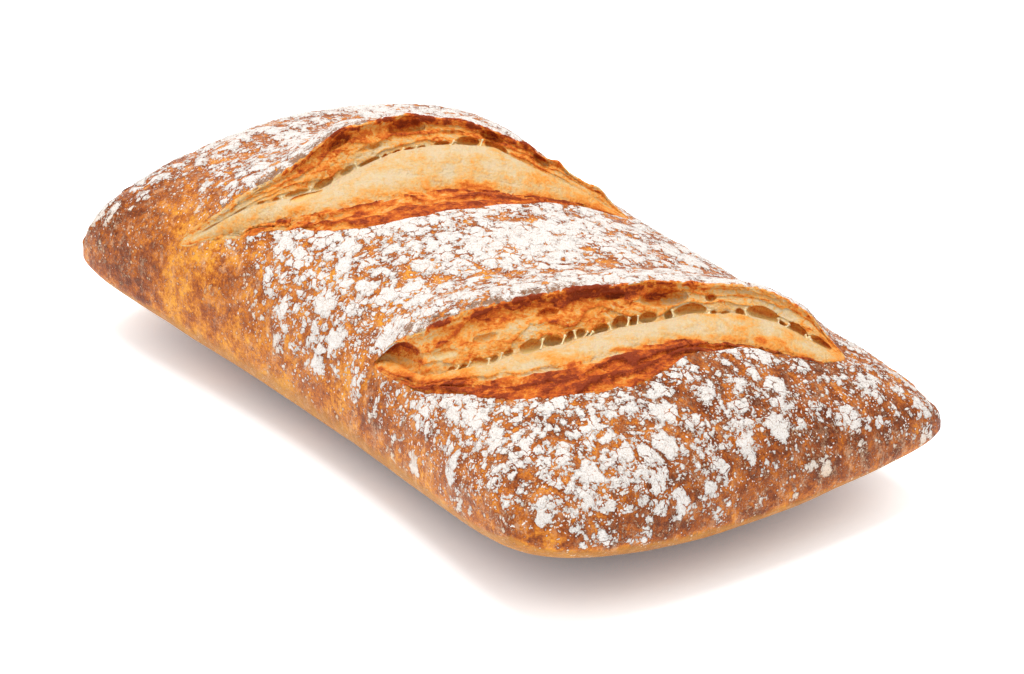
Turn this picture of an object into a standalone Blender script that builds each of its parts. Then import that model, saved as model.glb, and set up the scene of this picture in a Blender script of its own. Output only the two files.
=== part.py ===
"""A flour-dusted ciabatta loaf with two slashes across its top, as one closed solid.

The loaf is a rounded pillow that stands on a flat patch. Its long sides draw in
to a waist, its short ends bow out, and its rim stands above the floor all round.
Each slash has opened: on its far side the crust has lifted into an ear, under the
ear a steep torn face drops to a row of open bubbles, and from there the crumb
slopes up to a torn ridge on the near side.

Metres, +Z up, +X along the loaf, origin on the floor under the middle of its box.
"""

import math
from typing import NamedTuple

import bmesh
import bpy
import numpy as np
from mathutils.geometry import delaunay_2d_cdt

# Outline of the loaf from above
EDGE_LENGTH = 0.212  # along a long side, before the corners stretch
END_BULGE = 0.0098  # how far the middle of each short end bows out
END_WIDTH = 0.1479
WAIST = 0.0124  # how far the middle of each long side draws in
TAPER = -0.031  # share of the width lost towards +X
SQUARENESS = 7.5  # higher is a sharper corner

# Height of the dome, and of the rim where it meets the underside
CROWN_HEIGHT = 0.0605
CROWN_TILT = (-0.058, -0.093)  # share of the height gained towards +X and +Y
RIM_HEIGHT = 0.0210
CORNER_RIM_HEIGHT = 0.0242
DOME_POWERS = (3.885, 1.852)  # along and across: higher stays flat for longer
DOME_FULLNESS = 2.669
UNDER_POWER = 1.86
UNDER_DEPTH = 1.171  # over one, so that the middle is cut off flat by the floor


class Corner(NamedTuple):
    """One corner of the pillow: where it is, and how the oven pulled it."""

    side_x: int
    side_y: int
    stretch: float
    lift: float


CORNERS = (
    Corner(-1, -1, 0.0068, -0.0004),
    Corner(1, -1, -0.0037, 0.0040),
    Corner(1, 1, 0.0129, -0.0025),
    Corner(-1, 1, 0.0, 0.0004),
)


class Slash(NamedTuple):
    """One opened cut. Its chord runs from start to end in the plan.

    The edges and the ear's height are stations, each a share of the chord and a
    distance. The distances of the edges are across the chord, positive to the right
    of someone who walks from its start to its end. The sink is how far the foot of
    the torn face lies below the dome: it is negative where the crumb swelled past it.
    """

    start: tuple
    end: tuple
    ear_edge: tuple
    near_edge: tuple
    ear_height: tuple
    sink: float


SLASHES = (
    Slash(
        start=(0.024, -0.057),
        end=(0.096, 0.046),
        ear_edge=(
            (0, -0.001),
            (0.12, 0.006),
            (0.3, 0.005),
            (0.5, -0.001),
            (0.7, -0.008),
            (0.85, -0.010),
            (1, -0.003),
        ),
        near_edge=(
            (0, 0.002),
            (0.1, 0.018),
            (0.2, 0.028),
            (0.4, 0.036),
            (0.55, 0.031),
            (0.67, 0.017),
            (0.8, 0.008),
            (1, 0.002),
        ),
        ear_height=(
            (0, 0.001),
            (0.1, 0.0045),
            (0.45, 0.0055),
            (0.7, 0.0065),
            (0.83, 0.008),
            (0.93, 0.0055),
            (1, 0.001),
        ),
        sink=0.005,
    ),
    Slash(
        start=(-0.065, -0.062),
        end=(0.012, 0.040),
        ear_edge=(
            (0, -0.002),
            (0.09, 0.002),
            (0.22, -0.003),
            (0.36, -0.013),
            (0.5, -0.020),
            (0.65, -0.023),
            (0.8, -0.018),
            (1, -0.006),
        ),
        near_edge=(
            (0, 0.001),
            (0.19, 0.011),
            (0.4, 0.020),
            (0.6, 0.016),
            (0.75, 0.006),
            (0.88, -0.002),
            (1, -0.002),
        ),
        ear_height=(
            (0, 0.001),
            (0.1, 0.004),
            (0.22, 0.0045),
            (0.36, 0.009),
            (0.5, 0.0115),
            (0.66, 0.011),
            (0.8, 0.0075),
            (1, 0.001),
        ),
        sink=-0.0045,
    ),
)

# The section across a slash: shares of its width, measured from the ear
FACE_FOOT = 0.16
BUBBLE_ROW = (0.21, 0.29)
BUBBLE_END = 0.35
CRUMB_END = 0.88
RIDGE_CREST = 0.94
CRUMB_END_DEPTH = 0.0008
RIDGE_HEIGHT = 0.0012
EAR_REACH = 0.026  # how far back the lifted crust rises to the ear
EAR_WAVE, EAR_WAVE_LENGTH = 0.0005, 0.019
BUBBLE_DEPTH, BUBBLE_PITCH = 0.0016, 0.0072
RIDGE_WAVE, RIDGE_WAVE_LENGTH = 0.0006, 0.011

# Spacing of the mesh
RIM_STEPS = (50, 32)  # cells along and across the top
UNDER_STEPS = (26, 16)
SLASH_STEP = 0.0018
TIP_GAP = 0.006  # share of the chord that the rows leave free at each tip
SLASH_ROWS = (0.0, 1.0, FACE_FOOT, *BUBBLE_ROW, RIDGE_CREST, CRUMB_END, BUBBLE_END, 0.08, 0.48, 0.62, 0.75)
EAR_BACK_ROWS = (0.0015, 0.004, 0.008, 0.014)  # distances behind the ear's crest
NEAR_SIDE_ROW = 0.003  # distance past the near edge
SLASH_CLEARANCE = 0.0010  # nearest that two points of a slash may stand
OPEN_CLEARANCE = 0.0034  # nearest that a point of the plain crust may stand
SAME_POINT = 1e-7

CRUST_COLOUR = (0.58, 0.30, 0.10, 1.0)
CRUST_ROUGHNESS = 0.7
NODE_NAME = "loaf"


def smooth_curve(stations, at):
    """A smooth curve through the stations, read at the given shares."""
    places, values = np.array(stations).T
    slopes = np.gradient(values, places)
    cell = np.clip(np.searchsorted(places, at, side="right") - 1, 0, len(places) - 2)
    gap = places[cell + 1] - places[cell]
    part = np.clip((at - places[cell]) / gap, 0, 1)
    ease = part * part * (3 - 2 * part)
    pull = slopes[cell] * (1 - part) - slopes[cell + 1] * part
    return values[cell] + (values[cell + 1] - values[cell]) * ease + gap * part * (1 - part) * pull


def corner_share(corner, u, v):
    """How much a place belongs to a corner, from 0 to 1."""
    return ((1 + corner.side_x * u) * (1 + corner.side_y * v) / 4) ** 4


def raw_plan(u, v):
    """Plan position of the flat coordinates u and v, each from -1 to 1."""
    shrink = 1 - np.abs(u * v) ** SQUARENESS / (2 * SQUARENESS + 1)
    along = u * shrink
    across = v * shrink
    x = along * (EDGE_LENGTH / 2 + END_BULGE * (1 - across**2))
    y = across * (END_WIDTH / 2 - WAIST * (1 - along**2)) * (1 + TAPER * along)
    for corner in CORNERS:
        x = x + corner.side_x * corner.stretch * corner_share(corner, u, v)
    return x, y


def plan_middle():
    """Middle of the outline's box."""
    around = np.linspace(-1, 1, 401)
    ends = [raw_plan(side * np.ones_like(around), around)[0] for side in (-1, 1)]
    sides = [raw_plan(around, side * np.ones_like(around))[1] for side in (-1, 1)]
    return (ends[0].min() + ends[1].max()) / 2, (sides[0].min() + sides[1].max()) / 2


def rim_height(u, v):
    """Height of the rim below or beside a place."""
    z = RIM_HEIGHT + (CORNER_RIM_HEIGHT - RIM_HEIGHT) * (u * v) ** 2
    for corner in CORNERS:
        z = z + corner.lift * corner_share(corner, u, v)
    return z


def dome_height(u, v):
    """Height of the top before it was slashed."""
    swell = (1 - np.abs(u) ** DOME_POWERS[0]) * (1 - np.abs(v) ** DOME_POWERS[1])
    crown = CROWN_HEIGHT * (1 + CROWN_TILT[0] * u + CROWN_TILT[1] * v)
    rim = rim_height(u, v)
    return rim + (crown - rim) * np.maximum(swell, 0) ** (1 / DOME_FULLNESS)


def under_height(u, v):
    """Height of the underside, which the floor cuts off flat."""
    swell = (1 - np.abs(u) ** UNDER_POWER) * (1 - np.abs(v) ** UNDER_POWER)
    return np.maximum(0, rim_height(u, v) * (1 - UNDER_DEPTH * np.sqrt(np.maximum(swell, 0))))


def flat_of(x, y):
    """The flat coordinates of a plan position, found by repeated correction."""
    half_x = EDGE_LENGTH / 2 + END_BULGE
    half_y = (END_WIDTH - WAIST) / 2
    u = np.clip(x / half_x, -1, 1)
    v = np.clip(y / half_y, -1, 1)
    for _ in range(30):
        at_x, at_y = raw_plan(u, v)
        u = np.clip(u - (at_x - x) / half_x, -1, 1)
        v = np.clip(v - (at_y - y) / half_y, -1, 1)
    return u, v


def chord_frame(slash):
    """Start, direction, rightward normal and length of a slash's chord."""
    start = np.array(slash.start)
    chord = np.array(slash.end) - start
    length = np.linalg.norm(chord)
    ahead = chord / length
    return start, ahead, np.array((ahead[1], -ahead[0])), length


def slash_place(slash, share, across):
    """Plan position of a share of the chord and a distance across it."""
    start, ahead, right, length = chord_frame(slash)
    x = start[0] + ahead[0] * share * length + right[0] * across
    y = start[1] + ahead[1] * share * length + right[1] * across
    return x, y


def slash_relief(slash, x, y):
    """How far a slash lifts or lowers the dome at a plan position."""
    start, ahead, right, length = chord_frame(slash)
    share = ((x - start[0]) * ahead[0] + (y - start[1]) * ahead[1]) / length
    across = (x - start[0]) * right[0] + (y - start[1]) * right[1]
    inside = (share > 0) & (share < 1)
    share = np.clip(share, 0, 1)
    run = share * length
    open_here = np.sin(math.pi * share) ** 0.5
    ear_edge = smooth_curve(slash.ear_edge, share)
    width = smooth_curve(slash.near_edge, share) - ear_edge
    ear = smooth_curve(slash.ear_height, share)
    ear = ear + EAR_WAVE * open_here * np.sin(2 * math.pi * run / EAR_WAVE_LENGTH)
    behind = np.clip(1 + (across - ear_edge) / EAR_REACH, 0, 1)
    lifted_crust = ear * behind**2 * (3 - 2 * behind)
    bubbles = BUBBLE_DEPTH * np.maximum(0, np.cos(2 * math.pi * run / BUBBLE_PITCH))
    ridge = RIDGE_HEIGHT + RIDGE_WAVE * np.sin(2 * math.pi * run / RIDGE_WAVE_LENGTH)
    foot = -slash.sink * open_here
    section = (
        (0.0, ear),
        (FACE_FOOT, foot),
        (BUBBLE_ROW[0], foot - bubbles * open_here),
        (BUBBLE_ROW[1], foot - bubbles * open_here),
        (BUBBLE_END, foot),
        (CRUMB_END, -CRUMB_END_DEPTH * open_here),
        (RIDGE_CREST, ridge * open_here),
        (1.0, np.zeros_like(ridge)),
    )
    place = np.clip((across - ear_edge) / width, 0, 1)
    relief = lifted_crust
    for (low, low_height), (high, high_height) in zip(section, section[1:]):
        here = (across >= ear_edge) & (place >= low)
        part = np.clip((place - low) / (high - low), 0, 1)
        relief = np.where(here, low_height + (high_height - low_height) * part, relief)
    return np.where(inside, relief, 0.0)


def top_height(u, v):
    """Height of the slashed top."""
    x, y = raw_plan(u, v)
    return dome_height(u, v) + sum(slash_relief(slash, x, y) for slash in SLASHES)


def slash_points(slash):
    """Plan positions on the rows of one slash, the rows that matter most first."""
    length = chord_frame(slash)[3]
    shares = np.linspace(TIP_GAP, 1 - TIP_GAP, round(length / SLASH_STEP))
    ear_edge = smooth_curve(slash.ear_edge, shares)
    width = smooth_curve(slash.near_edge, shares) - ear_edge
    rows = [ear_edge + share * width for share in SLASH_ROWS]
    rows += [ear_edge - distance for distance in EAR_BACK_ROWS]
    rows.append(ear_edge + width + NEAR_SIDE_ROW)
    return [np.stack(slash_place(slash, shares, row), axis=-1) for row in rows]


def spread(u, v):
    """Flat coordinates opened out, so that equal steps suit the steep rim."""
    return np.stack((np.arcsin(u) * EDGE_LENGTH, np.arcsin(v) * END_WIDTH), axis=-1) / math.pi


def gathered(spreads):
    """Flat coordinates u and v of opened-out positions."""
    return np.sin(spreads[:, 0] * math.pi / EDGE_LENGTH), np.sin(spreads[:, 1] * math.pi / END_WIDTH)


def lattice(steps):
    """Opened-out positions inside the rim, in staggered rows."""
    columns, rows = steps
    found = []
    for row in range(1, rows):
        odd = row % 2
        across = (row / rows - 0.5) * END_WIDTH
        for column in range(1, columns - odd):
            along = ((column + odd / 2) / columns - 0.5) * EDGE_LENGTH
            found.append((along, across))
    return np.array(found)


def rim_ring(steps):
    """Opened-out positions round the rim, in order."""
    half_x = EDGE_LENGTH / 2
    half_y = END_WIDTH / 2
    along = np.linspace(-half_x, half_x, steps[0] + 1)[:-1]
    across = np.linspace(-half_y, half_y, steps[1] + 1)[:-1]
    sides = (
        np.stack((along, np.full_like(along, -half_y)), axis=-1),
        np.stack((np.full_like(across, half_x), across), axis=-1),
        np.stack((-along, np.full_like(along, half_y)), axis=-1),
        np.stack((np.full_like(across, -half_x), -across), axis=-1),
    )
    return np.concatenate(sides)


def thinned(kept, candidates, clearance):
    """The kept positions and those candidates that stand clear of all the others."""
    kept = list(kept)
    for candidate in candidates:
        nearest = np.min(np.sum((np.array(kept) - candidate) ** 2, axis=1))
        if nearest > clearance**2:
            kept.append(candidate)
    return kept


def top_positions(ring):
    """Opened-out positions of the top: the rim, the slashes' rows and the plain crust."""
    kept = ring
    for slash in SLASHES:
        for row in slash_points(slash):
            kept = thinned(kept, spread(*flat_of(row[:, 0], row[:, 1])), SLASH_CLEARANCE)
    return np.array(thinned(kept, lattice(RIM_STEPS), OPEN_CLEARANCE))


def triangles_of(positions, ring_size):
    """Triangles that join the positions, whose first ones go round the rim."""
    ring = [(index, (index + 1) % ring_size) for index in range(ring_size)]
    result = delaunay_2d_cdt([tuple(place) for place in positions], ring, [], 1, SAME_POINT)
    if len(result[0]) != len(positions):
        raise RuntimeError("two positions of the mesh are the same")
    order = [origins[0] for origins in result[3]]
    return [[order[index] for index in face] for face in result[2]]


def points_of(positions, height, middle):
    """Solid positions of opened-out ones, on the surface with the given height."""
    u, v = gathered(positions)
    x, y = raw_plan(u, v)
    return np.stack((x - middle[0], y - middle[1], height(u, v)), axis=-1)


def loaf_mesh():
    """The closed mesh of the loaf: its slashed top and its underside share the rim."""
    middle = plan_middle()
    ring = rim_ring(RIM_STEPS)
    size = len(ring)
    top = top_positions(ring)
    under = np.array(thinned(ring, lattice(UNDER_STEPS), OPEN_CLEARANCE))
    top_points = points_of(top, top_height, middle)
    under_points = points_of(under, under_height, middle)[size:]
    faces = triangles_of(top, size)
    numbers = list(range(size)) + list(range(len(top), len(top) + len(under_points)))
    for face in triangles_of(under, size):
        faces.append([numbers[index] for index in reversed(face)])
    mesh = bpy.data.meshes.new(NODE_NAME)
    mesh.from_pydata(np.concatenate((top_points, under_points)).tolist(), [], faces)
    shaped = bmesh.new()
    shaped.from_mesh(mesh)
    bmesh.ops.recalc_face_normals(shaped, faces=shaped.faces)
    if shaped.calc_volume(signed=True) < 0:
        bmesh.ops.reverse_faces(shaped, faces=shaped.faces)
    shaped.to_mesh(mesh)
    shaped.free()
    mesh.shade_smooth()
    return mesh


def crust_material():
    """Baked crust: matt, amber to brown."""
    material = bpy.data.materials.new("baked_crust")
    material.use_nodes = True
    surface = material.node_tree.nodes["Principled BSDF"]
    surface.inputs["Base Color"].default_value = CRUST_COLOUR
    surface.inputs["Roughness"].default_value = CRUST_ROUGHNESS
    surface.inputs["Metallic"].default_value = 0.0
    return material


def clear_scene():
    """Remove whatever the scene holds."""
    for thing in list(bpy.data.objects):
        bpy.data.objects.remove(thing, do_unlink=True)


def main():
    clear_scene()
    mesh = loaf_mesh()
    mesh.materials.append(crust_material())
    loaf = bpy.data.objects.new(NODE_NAME, mesh)
    bpy.context.scene.collection.objects.link(loaf)


if __name__ == "__main__":
    main()
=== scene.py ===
"""Looks of a flour-dusted ciabatta loaf with two slashes, laid out as a Blender add-on.

The crust is one fine mesh, whose flour plates and browning come from cell noise and
value noise. Each slash is a mesh of its own, swept along the cut: a rolled lip, a torn
face, a row of open bubbles, the crumb and a torn band along the near edge. Gluten
strands on the walls between bubbles and loose clumps of flour are small pieces on top.

Metres, +Z up, +X along the loaf, origin on the floor under the middle of its box.
"""

import math
from typing import NamedTuple

import bmesh
import bpy
import numpy as np
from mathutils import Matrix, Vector


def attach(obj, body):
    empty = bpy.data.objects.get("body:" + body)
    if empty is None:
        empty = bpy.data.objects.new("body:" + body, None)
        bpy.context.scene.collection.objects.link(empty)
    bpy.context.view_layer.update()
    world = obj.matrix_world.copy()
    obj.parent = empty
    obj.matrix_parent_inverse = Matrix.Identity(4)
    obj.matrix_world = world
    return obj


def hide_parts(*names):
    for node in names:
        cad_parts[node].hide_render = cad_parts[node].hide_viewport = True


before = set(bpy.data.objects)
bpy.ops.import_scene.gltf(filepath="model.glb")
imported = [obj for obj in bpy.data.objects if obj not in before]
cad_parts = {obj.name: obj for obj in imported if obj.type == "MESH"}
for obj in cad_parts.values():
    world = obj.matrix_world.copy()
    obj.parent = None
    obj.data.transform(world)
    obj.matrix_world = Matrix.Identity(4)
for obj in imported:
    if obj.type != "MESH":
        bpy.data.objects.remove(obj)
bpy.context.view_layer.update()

bl_info = {
    "name": "Ciabatta loaf looks",
    "version": (1, 0, 0),
    "blender": (4, 5, 0),
    "location": "3D View > Sidebar > Loaf",
    "description": "Builds the crust, slashes, crumb and flour of a rustic loaf",
    "category": "Object",
}

NODE = "loaf"
BODY = "root"
MM = 0.001

# Outline of the loaf from above
EDGE_LENGTH = 0.212
END_BULGE = 0.0098
END_WIDTH = 0.1479
WAIST = 0.0124
TAPER = -0.031
SQUARENESS = 7.5

# Height of the dome, and of the rim where it meets the underside
CROWN_HEIGHT = 0.0605
CROWN_TILT = (-0.058, -0.093)
RIM_HEIGHT = 0.0210
CORNER_RIM_HEIGHT = 0.0242
DOME_POWERS = (3.885, 1.852)
DOME_FULLNESS = 2.669
UNDER_POWER = 1.86
UNDER_DEPTH = 1.171
END_ROUNDING = 0.006

# Share of the crust that flour covers, how it drifts, and what it gains on top and loses low down
FLOUR_COVER = 0.55
COVER_DRIFT = 0.26
COVER_ON_TOP = 0.22
COVER_LOW_DOWN = 0.24
BARE_BELOW = 0.026
UNDER_COVER = 0.1
UNDER_DUST = 0.28

# Extra flour along a slash: how much, and how far it reaches
FLOUR_BEHIND_EAR = (0.30, 0.009)
FLOUR_BEFORE_EDGE = (0.16, 0.006)

# Plates of flour: gap between them as a share of their size, rounding of their corners and softness
# of their edges in metres, size of the bits between them, and least and greatest shape of a clump
PLATE_GAP = 0.085
PLATE_CORNER = 0.00055
PLATE_EDGE = 0.0009
BIT_SHARE = 0.45
CLUMP_SHAPE_LOW = (0.5, 0.5, 0.16)
CLUMP_SHAPE_HIGH = (1.8, 1.1, 0.40)

# How brown the crust is before the dustings change it
TOAST = 0.44
TOAST_DRIFT = 0.14
TOAST_LOW_DOWN = 0.12
PALE_BELOW = 0.028

# Stretches at the ends of a slash where its waves, its section and its relief die away
CALM_EDGES = 0.012
CALM_SECTION = 0.014
CALM_RELIEF = 0.016

# Least browning of a slash's torn skin, and how many layers it tore in
LEAST_BROWNING = 0.26
FACE_LAYERS = 3.0
BAND_LAYERS = 2.6

# How far a bubble or pocket goes in for each unit of its depth, across the slash and down
CARVE_ACROSS = 0.80
CARVE_DOWN = 0.60

# Strands stand where the wall between two bubbles is thinner than this, in mm
WIDEST_WALL = 1.8
NARROWEST_BUBBLE = 0.55
STRAND_STEPS = 9

# The soft lights, and the colour of the floor's glow, which fades near the loaf as a painted soft shadow
KEY_PLACE = (-0.14, 0.0, 1.29)
KEY_SIZE = 0.9
FILL_PLACE = (0.75, -0.9, 0.65)
FILL_SIZE = 0.8
GLOW_COLOUR = (1.0, 0.98, 0.96, 1.0)


class Corner(NamedTuple):
    """One corner of the pillow: where it is, and how the oven pulled it."""

    side_x: int
    side_y: int
    stretch: float
    lift: float


CORNERS = (
    Corner(-1, -1, 0.0068, -0.0004),
    Corner(1, -1, -0.0037, 0.0040),
    Corner(1, 1, 0.0129, -0.0025),
    Corner(-1, 1, 0.0, 0.0004),
)


class Bubble(NamedTuple):
    """An open bubble in the row: share of the chord, then half sizes, depth and rise above the row in mm."""

    share: float
    half_along: float
    half_across: float
    depth: float
    rise: float = 0.0


class Pocket(NamedTuple):
    """A hollow in the torn face, browner towards its top (partly browned skin, partly painted shade): share
    of the chord and of the face, half sizes and depth in mm.
    """

    share: float
    place: float
    half_along: float
    half_across: float
    depth: float
    toast: float = 0.30


class Scorch(NamedTuple):
    """A browner or paler area of a slash: share of the chord and of the section, half sizes in mm."""

    share: float
    place: float
    half_along: float
    half_across: float
    toast: float


class Peak(NamedTuple):
    """A place where the ear stands up: share of the chord, height and half width in mm."""

    share: float
    height: float
    half_width: float


class Slash(NamedTuple):
    """One opened cut: its chord, its edges, its section, its browning and its openings."""

    name: str
    start: tuple
    end: tuple
    ear_edge: tuple
    near_edge: tuple
    ear_height: tuple
    ear_reach: tuple
    peaks: tuple
    row_share: tuple
    row_height: tuple
    crumb_end: tuple
    lip_toast: tuple
    crumb_toast: tuple
    band_toast: tuple
    lip_flour: tuple
    bubbles: tuple
    pockets: tuple
    scorches: tuple
    seed: int


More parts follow.
